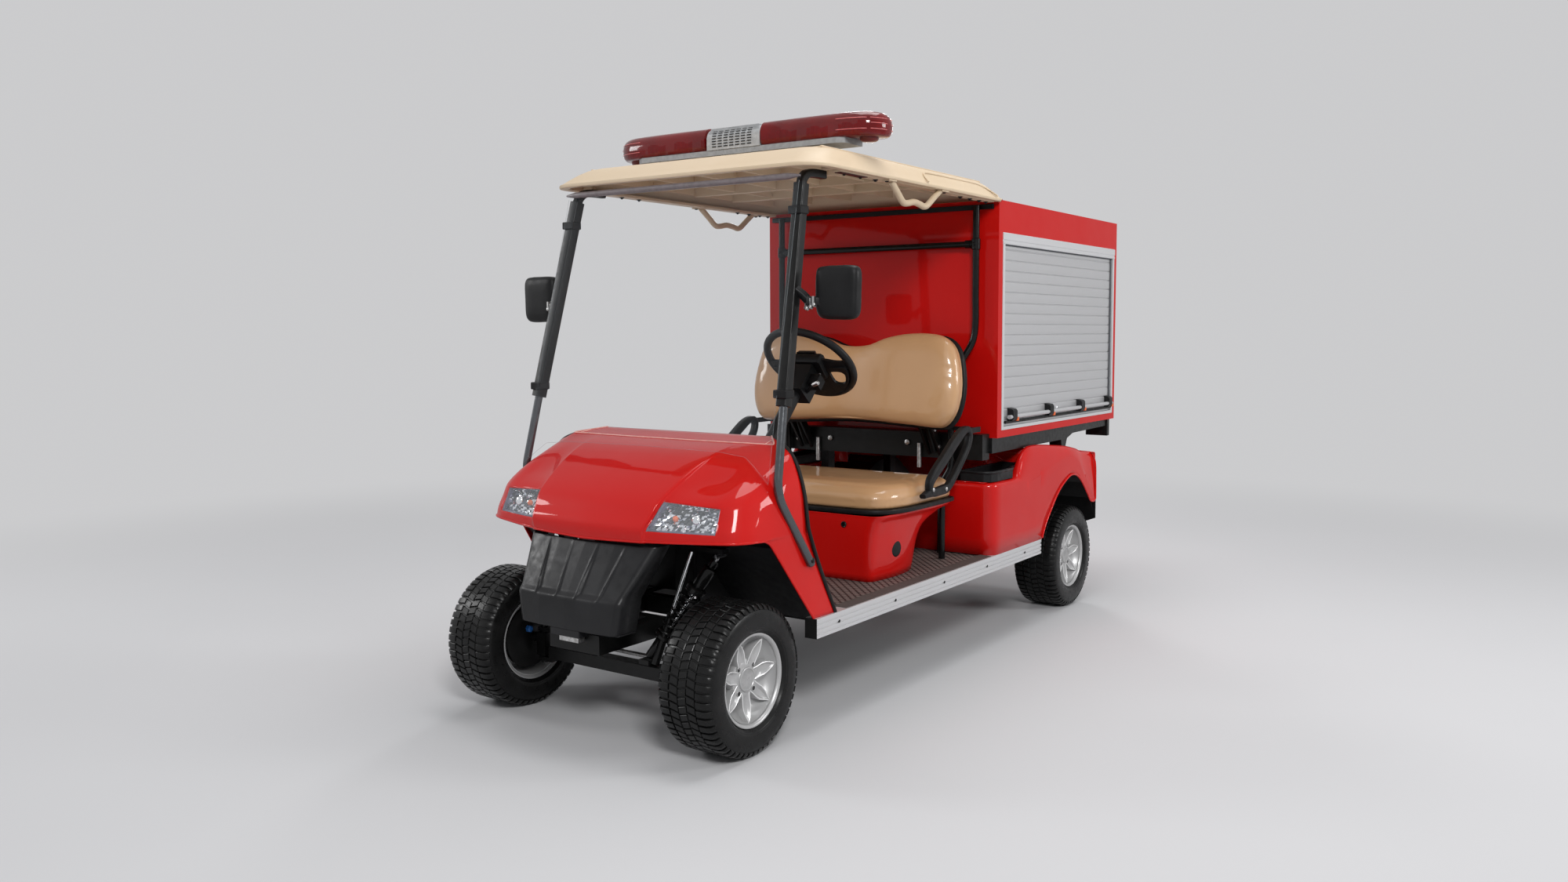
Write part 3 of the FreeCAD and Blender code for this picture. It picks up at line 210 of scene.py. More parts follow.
def mat_rubber():
    """Brown-grey floor mat with a raised diamond grid, its grooves darkened as painted shade."""
    finish = Finish("mat_rubber", (0.13, 0.105, 0.095), 0.62, specular=0.15)
    pitch = 0.064
    split = finish.add("ShaderNodeSeparateXYZ")
    finish.link(finish.place, split.inputs["Vector"])
    waves = []
    for sign in ("ADD", "SUBTRACT"):
        along = finish.math(sign, split.outputs["X"], split.outputs["Y"])
        turn = finish.math("MULTIPLY", along, 2 * math.pi / pitch)
        waves.append(finish.math("ABSOLUTE", finish.math("SINE", turn)))
    grid = finish.math("MULTIPLY", *waves)
    # the grooves between the raised diamonds are painted much darker: painted shade
    finish.colours(grid, (0.02, 0.016, 0.015), (0.19, 0.155, 0.14), 0.12, 0.5)
    finish.bump(grid, 0.8, 0.002)
    return finish.rough(finish.noise(60, 4), 0.5, 0.75).material


def vinyl():
    """Tan marine vinyl: soft gloss, fine leather grain and slow colour drift."""
    finish = Finish("seat_vinyl", (0.56, 0.325, 0.16), 0.36, coat=0.7, coat_roughness=0.08, specular=0.3)
    finish.colours(finish.noise(2.5, 2), (0.53, 0.30, 0.145), (0.58, 0.34, 0.17))
    finish.rough(finish.noise(12, 2), 0.32, 0.4)
    cells = finish.cells(420, feature="DISTANCE_TO_EDGE")
    return finish.bump(finish.math("ADD", cells.outputs["Distance"], finish.noise(22, 1)), 0.06,
        0.0014).material


def see_through(name, tint, clear, roughness=0.03, level=0.25):
    """Thin clear sheet: mostly plain transparency under a glossy skin."""
    finish = Finish(name, tint, roughness, specular=level)
    finish.set("IOR", 1.3)
    finish.set("Alpha", 1 - clear)
    finish.rough(finish.noise(12, 3), roughness, roughness + 0.03)
    finish.material.surface_render_method = "BLENDED"
    return finish.material


def shades(colour, *shares):
    """A colour made darker or lighter by each share."""
    return [tuple(min(part * share, 1) for part in colour) for share in shares]


def lens_plastic(name, colour, clear, roughness=0.12):
    """Tinted lamp plastic that lets the parts behind it show."""
    finish = Finish(name, colour, roughness, coat=0.6, specular=0.1)
    finish.set("Alpha", 1 - clear)
    return finish.colours(finish.noise(9, 3), *shades(colour, 0.8, 1.15)).material


def plain(name, colour, roughness, metallic=0.0, level=0.12):
    """A small fitting's finish, its colour broken by a faint noise."""
    return surface(name, colour, roughness, (60, 3, *shades(colour, 1 - level, 1 + level)),
        (80, 3, roughness, roughness + 0.1), metallic=metallic)


RED = gloss_red("red_gelcoat", 0.0006, 0.5)
RED_SHEET = gloss_red("red_sheet_paint", 0.0003, 0.3)
BLACK_STEEL = satin_black("black_powder_coat")
GLOSS_BLACK = satin_black("black_gloss_tube", 0.005, 0.16)
TUBE_GLOSS = plain("strut_gloss", (0.10, 0.105, 0.112), 0.16, 0.75, 0.03)
BLACK_PLASTIC = moulded_black("black_moulding")
GREY_PLASTIC = moulded_black("grey_black_moulding", 0.014, 0.36)
TRIM_RUBBER = rubber("trim_rubber")
TYRE_RUBBER = rubber("tyre_rubber", 0.005, 0.33)
SILL_METAL = brushed("sill_extrusion", 0.66, 0.36, (900, 3, 900))
SLAT_METAL = brushed("slat_extrusion", 0.56, 0.42, (2, 2, 1500))
RAIL_METAL = brushed("rail_extrusion", 0.72, 0.38, (900, 3, 900))
ALLOY = alloy_paint("alloy_paint", 0.46)
# a lighter copy of the alloy paint for the spokes' raised edges: a painted highlight
ALLOY_EDGE_PAINTED_HIGHLIGHT = alloy_paint("alloy_edge_painted_highlight", 0.84)
CHROME = chrome()
ZINC = surface("zinc_steel", (0.5, 0.5, 0.5), 0.35, (90, 4, (0.36, 0.35, 0.34), (0.6, 0.6, 0.6)),
    (120, 4, 0.28, 0.5), metallic=1.0)
MAT = mat_rubber()
VINYL = vinyl()
CREAM = surface("cream_plastic", (0.63, 0.50, 0.35), 0.5,
    (2.5, 3, (0.615, 0.485, 0.335), (0.645, 0.515, 0.365)), (20, 4, 0.42, 0.56), (500, 3, 0.03, 0.0004),
    coat=0.03, specular=0.3)
ACRYLIC = see_through("clear_acrylic", (0.55, 0.60, 0.64), 0.98, level=0.06)
LAMP_GLASS = see_through("lamp_glass", (0.9, 0.95, 1.0), 0.85)
BEZEL = plain("lamp_bezel", (0.10, 0.09, 0.15), 0.28, 0.2)
LENS_RED = lens_plastic("beacon_lens", (0.16, 0.0, 0.001), 0.14)
TAIL_RED = lens_plastic("tail_lens", (0.5, 0.01, 0.01), 0.1)
ORANGE = plain("orange_plastic", (0.75, 0.13, 0.02), 0.35)
SPEAKER = plain("speaker_grille", (0.42, 0.43, 0.44), 0.5)
BAR_GREY = plain("bar_base_plastic", (0.30, 0.31, 0.32), 0.45)
# a lighter pinkish red for the cowl's cap seam bead: a painted highlight along the seam ridge
SEAM_PAINTED_HIGHLIGHT = plain("seam_painted_highlight", (0.85, 0.42, 0.36), 0.3)
# the headlamp facets get bright chrome, a dimmed copy and near-black at random: painted reflections
FACETED = plain("faceted_reflector", (0.80, 0.82, 0.86), 0.07, 1.0, 0.05)
FACET_PAINTED_DIM_REFLECTION = plain("facet_painted_dim_reflection", (0.16, 0.17, 0.20), 0.15, 0.9, 0.05)
# light red for thin arcs inside the beacon lenses: painted highlights
ARC_PAINTED_HIGHLIGHT = plain("beacon_painted_highlight_arc", (0.75, 0.22, 0.22), 0.12)
LENS_CORE = plain("beacon_core", (0.035, 0.004, 0.006), 0.4)
CHROME_RED = plain("beacon_reflector", (0.30, 0.01, 0.012), 0.3, 0.5)
CAP_GREY = plain("cap_grey", (0.42, 0.42, 0.42), 0.35, 0.5)
# near-black: painted shade in the wheel nuts' holes and painted dark reflections on the headlamp facets;
# also the drum behind each wheel's hub
PAINTED_DARK_AND_DRUM_BLACK = plain("painted_dark_and_drum_black", (0.01, 0.01, 0.011), 0.5)
SHADE_GREY = plain("guide_shadow", (0.05, 0.055, 0.065), 0.4, 0.3)
BLUE = plain("blue_cap", (0.02, 0.14, 0.45), 0.4)
MAT_EDGE = plain("mat_edge_brown", (0.055, 0.043, 0.038), 0.7)
STRIP = plain("moulding_grey", (0.17, 0.145, 0.15), 0.3)
SHEET_EDGE = see_through("acrylic_edge", (0.30, 0.34, 0.36), 0.8, 0.1)
MIRROR_GLASS = plain("mirror_glass", (0.8, 0.82, 0.85), 0.04, 1.0, 0.02)

CAD_FINISH = {name: finish for finish, names in (
    (ALLOY, "rim_front_left rim_front_right rim_rear_left rim_rear_right"),
    (BLACK_PLASTIC, "armrests dashboard mirrors pedals seat_pan steering_column steering_wheel"),
    (BLACK_PLASTIC, "storage_tray wheel_liners"),
    (BLACK_STEEL, "box_subframe chassis_frame cross_members front_axle front_struts"),
    (BLACK_STEEL, "knuckle_left knuckle_right rear_axle seat_back_frame springs"),
    (CREAM, "grab_handles roof"),
    (GREY_PLASTIC, "battery_pack front_apron"),
    (RED, "front_cowl rear_body seat_base"),
    (TYRE_RUBBER, "tyre_front_left tyre_front_right tyre_rear_left tyre_rear_right"),
    (VINYL, "seat_back seat_cushion"),
    (ACRYLIC, "windshield"), (BAR_GREY, "light_bar_body"), (LAMP_GLASS, "headlamps"),
    (LENS_RED, "light_bar_lenses"), (MAT, "floor_mat"), (RAIL_METAL, "shutter_frames"),
    (RED_SHEET, "equipment_box"), (SILL_METAL, "sills"), (SLAT_METAL, "shutters"),
    (TAIL_RED, "tail_lamps"), (ZINC, "tie_rod"),
) for name in names.split()}

# edge rounding in millimetres of the nodes that show
CAD_EDGES = {"battery_pack": 6, "box_subframe": 2, "chassis_frame": 3, "cross_members": 2,
    "equipment_box": 2.5, "front_axle": 3, "light_bar_body": 3, "pedals": 3, "shutter_frames": 1,
    "sills": 1, "steering_column": 3, "storage_tray": 2, "wheel_liners": 2}


def dress_cad():
    """Give every CAD node its finish, rounded edges and smooth shading across its facets."""
    for name, thing in NODES.items():
        thing.data.materials.clear()
        thing.data.materials.append(CAD_FINISH[name])
        smooth_facets(thing, 40)
        if name in CAD_EDGES:
            round_edges(thing, CAD_EDGES[name])


def smooth_facets(thing, angle):
    """Shade smoothly, keeping edges sharper than an angle crisp."""
    for face in thing.data.polygons:
        face.use_smooth = True
    thing.data.set_sharp_from_angle(angle=math.radians(angle))


def round_edges(thing, width, segments=2, angle=32):
    """Round edges sharper than an angle by a width in millimetres."""
    bevel = thing.modifiers.new("rounding", "BEVEL")
    bevel.width, bevel.segments = width / 1000, segments
    bevel.limit_method, bevel.angle_limit = "ANGLE", math.radians(angle)
    bevel.harden_normals = True


def thicken(skin, thickness):
    """Give an open skin a thickness in millimetres, inwards."""
    solid = skin.modifiers.new("thickness", "SOLIDIFY")
    solid.thickness, solid.offset = thickness / 1000, -1


def added(name, data):
    """A new object in the scene."""
    thing = bpy.data.objects.new(name, data)
    bpy.context.scene.collection.objects.link(thing)
    return thing


# ---------------------------------------------------------------- mesh building


def circle(sides):
    """The angles of a circle's points."""
    return [2 * math.pi * step / sides for step in range(sides)]


def round_row(centre, across, up, radius, sides):
    """Points of a circle about a centre, in the plane of two directions."""
    return [centre + (across * math.cos(turn) + up * math.sin(turn)) * radius for turn in circle(sides)]


class Build:
    """Vertices and faces collected from several shapes, for one piece."""

    def __init__(self):
        self.vertices, self.faces, self.slots = [], [], []

    def face(self, corners, slot=0):
        self.faces.append(tuple(corners))
        self.slots.append(slot)

    def grid(self, rows, around=False, ends=False, slot=0):
        """Rows of points; around closes each row into a ring, ends cap the first and the last row."""
        first, columns = len(self.vertices), len(rows[0])
        for row in rows:
            self.vertices += list(row)
        for low in range(first, len(self.vertices) - columns, columns):
            high = low + columns
            for column in range(columns if around else columns - 1):
                after = (column + 1) % columns
                self.face((low + column, low + after, high + after, high + column), slot)
        if ends:
            self.face(reversed(range(first, first + columns)), slot)
            self.face(range(len(self.vertices) - columns, len(self.vertices)), slot)
        return self

    def tube(self, points, radius, sides=16, closed=False):
        """A round bar along points; radius, in millimetres, may be one number or one for each point."""
        points = [Vector(point) for point in points]
        count = len(points)
        radii = radius if isinstance(radius, (list, tuple)) else [radius] * count
        rows, across = [], None
        for index, point in enumerate(points):
            before = points[index - 1] if index or closed else point
            after = points[(index + 1) % count] if index + 1 < count or closed else point
            ahead = (after - before).normalized()
            if across is None:
                across = ahead.orthogonal().normalized()
            across = (across - ahead * across.dot(ahead)).normalized()
            rows.append(round_row(point, across, ahead.cross(across), radii[index] / 1000, sides))
        if closed:
            rows.append(rows[0])
        return self.grid(rows, True, not closed)

    def disc(self, centre, axis, profile, sides=24, slot=0):
        """A turned shape about a centre: points (along the axis, radius) in millimetres."""
        axis = Vector(axis).normalized()
        across = axis.orthogonal().normalized()
        rows = [round_row(Vector(centre) + axis * (along / 1000), across, axis.cross(across), radius / 1000,
            sides) for along, radius in profile]
        return self.grid(rows, True, True, slot)

    def box(self, low, high):
        """A box between two corners."""
        (x0, y0, z0), (x1, y1, z1) = low, high
        return self.grid([[Vector((x, y, z)) for x, y in ((x0, y0), (x1, y0), (x1, y1), (x0, y1))]
            for z in (z0, z1)], True, True)

    def moved(self, place, flip=False):
        """A copy with each point placed by a function; flip turns its faces over."""
        other = Build()
        other.vertices = [place(Vector(vertex)) for vertex in self.vertices]
        other.faces = [tuple(reversed(face)) for face in self.faces] if flip else self.faces
        other.slots = self.slots
        return other

    def make(self, name, material, body="chassis", angle=40, bevel=0):
        """The piece: a named mesh that rides on a body, its edges rounded by bevel millimetres."""
        mesh = bpy.data.meshes.new(name)
        mesh.from_pydata([tuple(vertex) for vertex in self.vertices], [], self.faces)
        mesh.update()
        thing = added(name, mesh)
        for finish in material if isinstance(material, list) else [material]:
            mesh.materials.append(finish)
        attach(thing, body)
        mesh.polygons.foreach_set("material_index", self.slots)
        fix = bmesh.new()
        fix.from_mesh(mesh)
        bmesh.ops.remove_doubles(fix, verts=fix.verts, dist=1e-6)
        bmesh.ops.recalc_face_normals(fix, faces=fix.faces)
        fix.to_mesh(mesh)
        fix.free()
        smooth_facets(thing, angle)
        if bevel:
            round_edges(thing, bevel, 3, 30)
        return thing


def discs(centres, axis, profile, sides):
    """The same turned shape at several places, given in millimetres."""
    build = Build()
    for centre in centres:
        build.disc(mm(*centre), axis, profile, sides)
    return build


def both_sides(build, name, material, body="chassis", **options):
    """A left piece and its mirror image on the right, on the bodies of each side if body ends in _."""
    made = []
    for side, end in SIDES:
        shape = build if side > 0 else build.moved(lambda spot: Vector((-spot.x, spot.y, spot.z)), True)
        made.append(shape.make(f"{name}_{end}", material, body + end if body.endswith("_") else body,
            **options))
    return made


# ---------------------------------------------------------------- curves and surfaces
def curve(points, steps):
    """A smooth curve through points, its speed following the gaps between them."""
    points = np.array(points, float)
    gaps = np.linalg.norm(np.diff(points, axis=0), axis=1)[:, None] + 1e-9
    slopes = np.diff(points, axis=0) / gaps
    tangents = np.vstack([slopes[:1], (points[2:] - points[:-2]) / (gaps[:-1] + gaps[1:]), slopes[-1:]])
    line = []
    for index, gap in enumerate(gaps):
        for step in range(steps):
            t = step / steps
            line.append((2 * t ** 3 - 3 * t ** 2 + 1) * points[index]
                + (t ** 3 - 2 * t ** 2 + t) * gap * tangents[index]
                + (3 * t ** 2 - 2 * t ** 3) * points[index + 1]
                + (t ** 3 - t ** 2) * gap * tangents[index + 1])
    return np.array(line + [points[-1]])


def loop(points, steps):
    """A smooth closed curve through points."""
    points = [tuple(point) for point in points]
    line = curve(points[-2:] + points + points[:2], steps)
    return line[2 * steps:2 * steps + len(points) * steps]


def places(points):
    """Millimetre triples as frame points."""
    return [mm(*point) for point in points]


def spots(rows):
    """Rows of millimetre triples as rows of frame points."""
    return [places(row) for row in rows]


def between(start, end, share):
    """The point at a share of the way between two points."""
    return tuple(a + (b - a) * share for a, b in zip(start, end))


def flipped(points):
    """Points in reverse order, mirrored to the cart's other side."""
    return [(-point[0], *point[1:]) for point in reversed(points)]


# ---------------------------------------------------------------- front cowl
# half outlines (across, along) at a height; the last one tilts up towards the rear
COWL_RINGS = [
    (600, [(0, -138), (120, -134), (224, -125), (232, -122), (237, -119), (320, -106), (400, -89),
        (468, -73), (515, -42), (545, 10), (556, 73), (559, 165), (561, 254)]),
    (664, [(0, -147), (120, -144), (224, -139), (232, -137), (239, -126), (320, -106), (395, -85),
        (457, -66), (505, -38), (533, 8), (545, 73), (555, 165), (560, 254)]),
    (704, [(0, -125), (120, -122), (234, -116), (243, -114), (250, -98), (325, -80), (398, -63),
        (455, -48), (503, -18), (528, 30), (540, 88), (550, 170), (556, 254)]),
    (748, [(0, -92), (120, -90), (245, -84), (254, -81), (261, -67), (325, -53), (395, -40), (453, -27),
        (500, 6), (522, 55), (534, 105), (546, 180), (551, 254)]),
    (800, [(0, -22), (120, -20), (258, -12), (268, -8), (276, 6), (332, 34), (395, 48), (458, 50),
        (496, 84), (514, 125), (525, 165), (534, 210), (538, 254)]),
    (850, [(0, 68), (120, 70), (274, 78), (283, 82), (290, 92), (340, 112), (400, 126), (450, 146),
        (480, 176), (498, 204), (508, 226), (514, 242), (517, 256)]),
    (882, [(0, 150), (120, 152), (285, 160), (294, 163), (300, 168), (350, 184), (400, 200), (436, 213),
        (458, 228), (470, 240), (479, 250), (485, 258), (489, 268)]),
    (903, [(0, 250), (120, 250), (290, 252), (300, 252), (306, 253), (345, 254), (385, 254), (420, 254),
        (432, 256), (430, 266), (412, 290), (385, 322), (360, 351)]),
]
SEAM_Y, SEAM_Z, SEAM_TILT = 254, 903, 0.175
CAP_HALF = 432
LEG_TOP, LEG_FOOT, LEG_FRONT = 638, 365, 30
LEG_DEPTH = SEAM_Y - LEG_FRONT
LAMP_CORNERS = [(453, 737), (261, 748), (239, 664), (457, 663)]


def lip_height(across):
    """The height of the cowl's lip at a distance from the middle."""
    return float(np.interp(abs(across), [0, 243, 468], [624, 631, 638]))


def cowl_columns():
    """The cowl's outer surface as columns of points from the lip up to the seam."""
    rings = []
    for height, half in COWL_RINGS:
        tilt = SEAM_TILT if height == COWL_RINGS[-1][0] else 0
        level = [(x, y, height + tilt * (y - SEAM_Y)) for x, y in half]
        rings.append(curve(flipped(level[1:]) + level, 5))
    columns = []
    for place in range(len(rings[0])):
        line = curve([ring[place] for ring in rings], 8)
        low = lip_height(line[3][0])
        heights = low + (line[-1][2] - low) * np.linspace(0, 1, 41)
        columns.append([(np.interp(z, line[:, 2], line[:, 0]), np.interp(z, line[:, 2], line[:, 1]), z)
            for z in heights])
    return columns


def leg_rows(lip_line):
    """The cowl's left leg, from the lip line down to the step, its front edge rounded into the lip."""
    xs, ys = zip(*[(x, y) for x, y, _ in lip_line if x > 300])
    front = curve([(30, 638), (60, 635), (84, 622), (99.5, 603), (118, 578), (191, 475), (270, 365)], 10)
    shares = [0.0] + [(y - LEG_FRONT) / LEG_DEPTH for y in ys if LEG_FRONT + 0.5 < y < SEAM_Y - 0.5] + [1.0]
    rows = []
    for part in np.linspace(0, 1, 31) ** 1.4:
        height = LEG_TOP - (LEG_TOP - LEG_FOOT) * part
        start = float(np.interp(-height, -front[:, 1], front[:, 0]))
        end = SEAM_Y + 129 * (640 - height) / 275 if height < LEG_TOP - 0.1 else SEAM_Y
        row = []
        for share in shares:
            above = float(np.interp(LEG_FRONT + share * LEG_DEPTH, ys, xs))
            row.append(((1 - part) * above + part * (578 + 4 * share), start + share * (end - start),
                height))
        rows.append(row)
    return rows, [row[0] for row in rows]


def cut_window(thing, side):
    """Cut the mesh along a lamp window's edges and return the faces inside it as new geometry."""
    corners = [mm(side * x, 0, z) for x, z in LAMP_CORNERS]
    middle = sum(corners, Vector()) / 4
    mesh = bmesh.new()
    mesh.from_mesh(thing.data)

    def near(element):
        """Whether a part of the mesh lies about the window, on the cowl's front."""
        spot = element.calc_center_median() if hasattr(element, "calc_center_median") else element.co
        return abs(spot.x - middle.x) < 0.16 and abs(spot.z - middle.z) < 0.08 and spot.y < mm(0, 60, 0).y

    planes = []
    for start, end in zip(corners, corners[1:] + corners[:1]):
        edge = end - start
        normal = Vector((edge.z, 0, -edge.x)).normalized()
        if normal.dot(middle - start) < 0:
            normal = -normal
        planes.append((start, normal))
        faces = [face for face in mesh.faces if near(face)]
        around = list({part for face in faces for part in (*face.verts, *face.edges)})
        bmesh.ops.bisect_plane(mesh, geom=faces + around, plane_co=start, plane_no=normal, dist=1e-6)
    inside = [face for face in mesh.faces if near(face)
        and all(normal.dot(face.calc_center_median() - start) > 0 for start, normal in planes)]
    patch = [[vertex.co.copy() for vertex in face.verts] for face in inside]
    bmesh.ops.delete(mesh, geom=inside, context="FACES")
    mesh.to_mesh(thing.data)
    mesh.free()
    return patch, corners


def cowl():
    """The glossy front body with its lip, legs, cap seam painted lighter as a highlight and rubber edge,
    and the lamps in its windows.
    """
    columns = cowl_columns()
    lip_line = [column[0] for column in columns]
    shell = Build()
    shell.grid(spots(zip(*columns)))
    rear = columns[-1][-1]
    seam = [column[-1] for column in columns if abs(column[-1][0]) <= CAP_HALF + 0.5]
    rows = []
    for part in np.linspace(0, 1, 7):
        row = []
        for x, y, z in [point for point in seam if point[1] < 257]:
            along = y + part * (rear[1] - y)
            width = float(np.interp(along, [256, 266, 290, 322, 351], [432, 430, 412, 385, 360]))
            row.append((x * width / CAP_HALF, along, SEAM_Z + SEAM_TILT * (along - SEAM_Y)))
        rows.append(row)
    shell.grid(spots(rows))
    leg, edge = leg_rows(lip_line)
    shell.grid(spots(leg))
    shell.grid(spots([[(-x, y, z) for x, y, z in row] for row in leg]))
    skin = shell.make("cowl_shell", RED, angle=50)
    patches = [cut_window(skin, side) for side in (1, -1)]
    smooth_facets(skin, 50)
    thicken(skin, 4)
    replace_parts(skin, "front_cowl")

    lower = flipped(edge[1:]) + [point for point in lip_line if point[1] < 32] + edge[1:]
    bead = Build().tube([mm(x, y + 1, z + 1) for x, y, z in lower], 4.2, 10)
    bead.make("cowl_rolled_edge", RED)
    # the seam bead is a real ridge; its lighter red is a painted highlight
    line = Build().tube([mm(x, y, z + 0.6) for x, y, z in seam], 2.4, 6)
    for side in (1, -1):
        line.tube([mm(side * 404, 254.5, 903.8), mm(side * 400, 276, 907.6), mm(side * 396, 300, 911.8)],
            1.8, 6)
    line.make("cowl_cap_seam", SEAM_PAINTED_HIGHLIGHT)

    trim = [(583, 386, 366), (576, 330, 480), (567, 262, 640), (560, 258, 704), (554, 258, 748),
        (541, 258, 800), (520, 260, 850), (492, 271, 880), (440, 300, 903)]
    both_sides(Build().tube(places(curve(trim, 6)), 6.2, 10), "cowl_edge_rubber", TRIM_RUBBER)
    for (patch, corners), (_, side) in zip(patches, SIDES):
        lamp_unit(patch, corners, side)


def scatter(first, second):
    """A fixed share between 0 and 1 for a pair of numbers, without order."""
    swing = math.sin(first * 12.9898 + second * 78.233) * 43758.5453
    return swing - math.floor(swing)


def lamp_unit(patch, corners, side):
    """One headlamp: clear cover on the cowl's surface, bezel frame, faceted bowl whose facets carry painted
    bright and dark reflections, and bulbs.
    """
    cover = Build()
    for face in patch:
        start = len(cover.vertices)
        cover.vertices += [vertex + Vector((0, 0.0012, 0)) for vertex in face]
        cover.face(range(start, start + len(face)))
    glass = cover.make(f"headlamp_cover_{side}", LAMP_GLASS, angle=60)
    if side == "left":
        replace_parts(glass, "headlamps")
    surface = [vertex for face in patch for vertex in face]
    middle = sum(corners, Vector()) / 4

    def front(x, z):
        """The surface's place along the cart at a point of the window."""
        return min(surface, key=lambda spot: (spot.x - x) ** 2 + (spot.z - z) ** 2).y

    rim = [start.lerp(end, step / 8) for start, end in zip(corners, corners[1:] + corners[:1])
        for step in range(8)]
    frame_rows = []
    for inset_share, depth in ((0.0, 0.0015), (0.0, 0.004), (0.07, 0.005), (0.09, 0.03)):
        row = []
        for spot in rim:
            inset = spot.lerp(middle, inset_share)
            row.append(Vector((inset.x, front(spot.x, spot.z) + depth, inset.z)))
        frame_rows.append(row)
    Build().grid(frame_rows, True).make(f"headlamp_bezel_{side}", BEZEL, angle=30)

    bowl = Build()
    across, up = 25, 12
    rows = []
    for level in range(up + 1):
        row = []
        for place in range(across + 1):
            top = corners[1].lerp(corners[0], place / across)
            low = corners[2].lerp(corners[3], place / across)
            spot = low.lerp(top, level / up).lerp(middle, 0.06)
            ripple = scatter(place, level) * 0.010
            row.append(Vector((spot.x, front(spot.x, spot.z) + 0.014 + ripple, spot.z)))
        rows.append(row)
    bowl.grid(rows)
    # each facet takes the bright, dimmed or near-black finish at random: painted reflections of a
    # multi-reflector
    shades = [scatter(face % across + 40.5, face // across + 7.25) for face in range(len(bowl.faces))]
    bowl.slots = [0 if shade < 0.42 else 1 if shade < 0.66 else 2 for shade in shades]
    bowl.make(f"headlamp_reflector_{side}", [FACETED, FACET_PAINTED_DIM_REFLECTION, PAINTED_DARK_AND_DRUM_BLACK], angle=0)
    for share, size, finish in ((0.30, 10, ORANGE), (0.62, 17, CHROME)):
        spot = corners[1].lerp(corners[0], share).lerp(corners[2].lerp(corners[3], share), 0.55)
        centre = Vector((spot.x, front(spot.x, spot.z) + 0.012, spot.z))
        bulb = Build().disc(centre, (0, -1, 0), [(-4, size), (1, size * 0.92), (5, size * 0.6), (7, 1)], 18)
        bulb.make(f"headlamp_bulb_{side}_{int(share * 100)}", finish)


# ---------------------------------------------------------------- wheels
TYRE_R = 230


def wheel_sets():
    """Tyres and rims, made once about the X axis and set on each hub."""
    shapes = (("tyre", tyre(), TYRE_RUBBER), ("rim", rim(), [ALLOY, CAP_GREY, PAINTED_DARK_AND_DRUM_BLACK, ALLOY_EDGE_PAINTED_HIGHLIGHT]))
    for end, axle in (("front", FRONT_AXLE), ("rear", REAR_AXLE)):
        track = sum(corner.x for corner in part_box(f"tyre_{end}_left")) / 2
        for side, name in SIDES:
            hub = Vector((side * track, axle, TYRE_R / 1000))
            for kind, build, finish in shapes:
                placed = build.moved(lambda spot: hub + Vector((side * spot.x, side * spot.y, spot.z)))
                made = placed.make(f"dressed_{kind}_{end}_{name}", finish, f"wheel_{end}_{name}", angle=35)
                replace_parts(made, f"{kind}_{end}_{name}")


def around(x, radius, turn):
    """A point along the X axis, at a radius and an angle about it."""
    return Vector((x / 1000, radius * math.cos(turn) / 1000, radius * math.sin(turn) / 1000))


def turned_rows(profile, sides):
    """Rows of a body of revolution about the X axis, from (x, radius) points."""
    return [[around(x, radius, turn) for turn in circle(sides)] for x, radius in profile]


def tyre():
    """A road tyre: smooth walls with a rim ridge, a grooved crown and staggered blocks."""
    wall = [(79.7, 130), (83, 139), (90, 146), (97, 152), (98, 156), (99.5, 160), (100, 180), (98.5, 198),
        (94, 211), (88, 217)]
    half = [tuple(point) for point in curve(wall, 3)] + [(76, 223), (40, 224.5), (0, 225)]
    profile = half + [(-x, radius) for x, radius in reversed(half[:-1])]
    body = Build().grid(turned_rows(profile, 120), True)
    pitches = 56
    step = 2 * math.pi / pitches
    lanes = [(-46, -17, 0.0, 0.30), (-14, 14, 0.5, -0.26), (17, 46, 0.0, 0.30)]
    for index in range(pitches):
        for low, high, shift, slant in lanes:
            tread_block(body, low, high, (index + shift) * step, step * 0.8, slant * step, 229.8, 222)
        for side in (1, -1):
            turn = (index + 0.25 + 0.25 * side) * step
            shoulder_block(body, side, turn, step * 0.74)
    return body


def tread_block(body, low, high, turn, width, slant, top, foot):
    """One slanted block with a thin sipe-like chamfer around its top."""
    rows = []
    for radius, shrink in ((foot, 0), (top - 1.5, 0), (top, 0.07)):
        row = []
        for corner in ((0, 0), (1, 0), (1, 1), (0, 1)):
            x_share, t_share = (shrink + value * (1 - 2 * shrink) for value in corner)
            row.append(around(low + (high - low) * x_share, radius,
                turn + width * t_share + slant * x_share))
        rows.append(row)
    body.grid(rows, True)
    body.face(range(len(body.vertices) - 4, len(body.vertices)))


def shoulder_block(body, side, turn, width):
    """A block that rolls over the tread's shoulder."""
    line = [(50, 229.6), (76, 229), (89, 224), (96.5, 213)]
    base = [(50, 222), (74, 221), (84, 215), (93, 208)]
    rows = []
    for (x, radius), (x_low, r_low) in zip(line, base):
        section = ((x_low, r_low, 0), (x, radius - 1, 0.02), (x, radius, 0.08), (x, radius, 0.92),
            (x, radius - 1, 0.98), (x_low, r_low, 1))
        rows.append([around(side * out, reach, turn + width * share) for out, reach, share in section])
    body.grid(rows, ends=True)


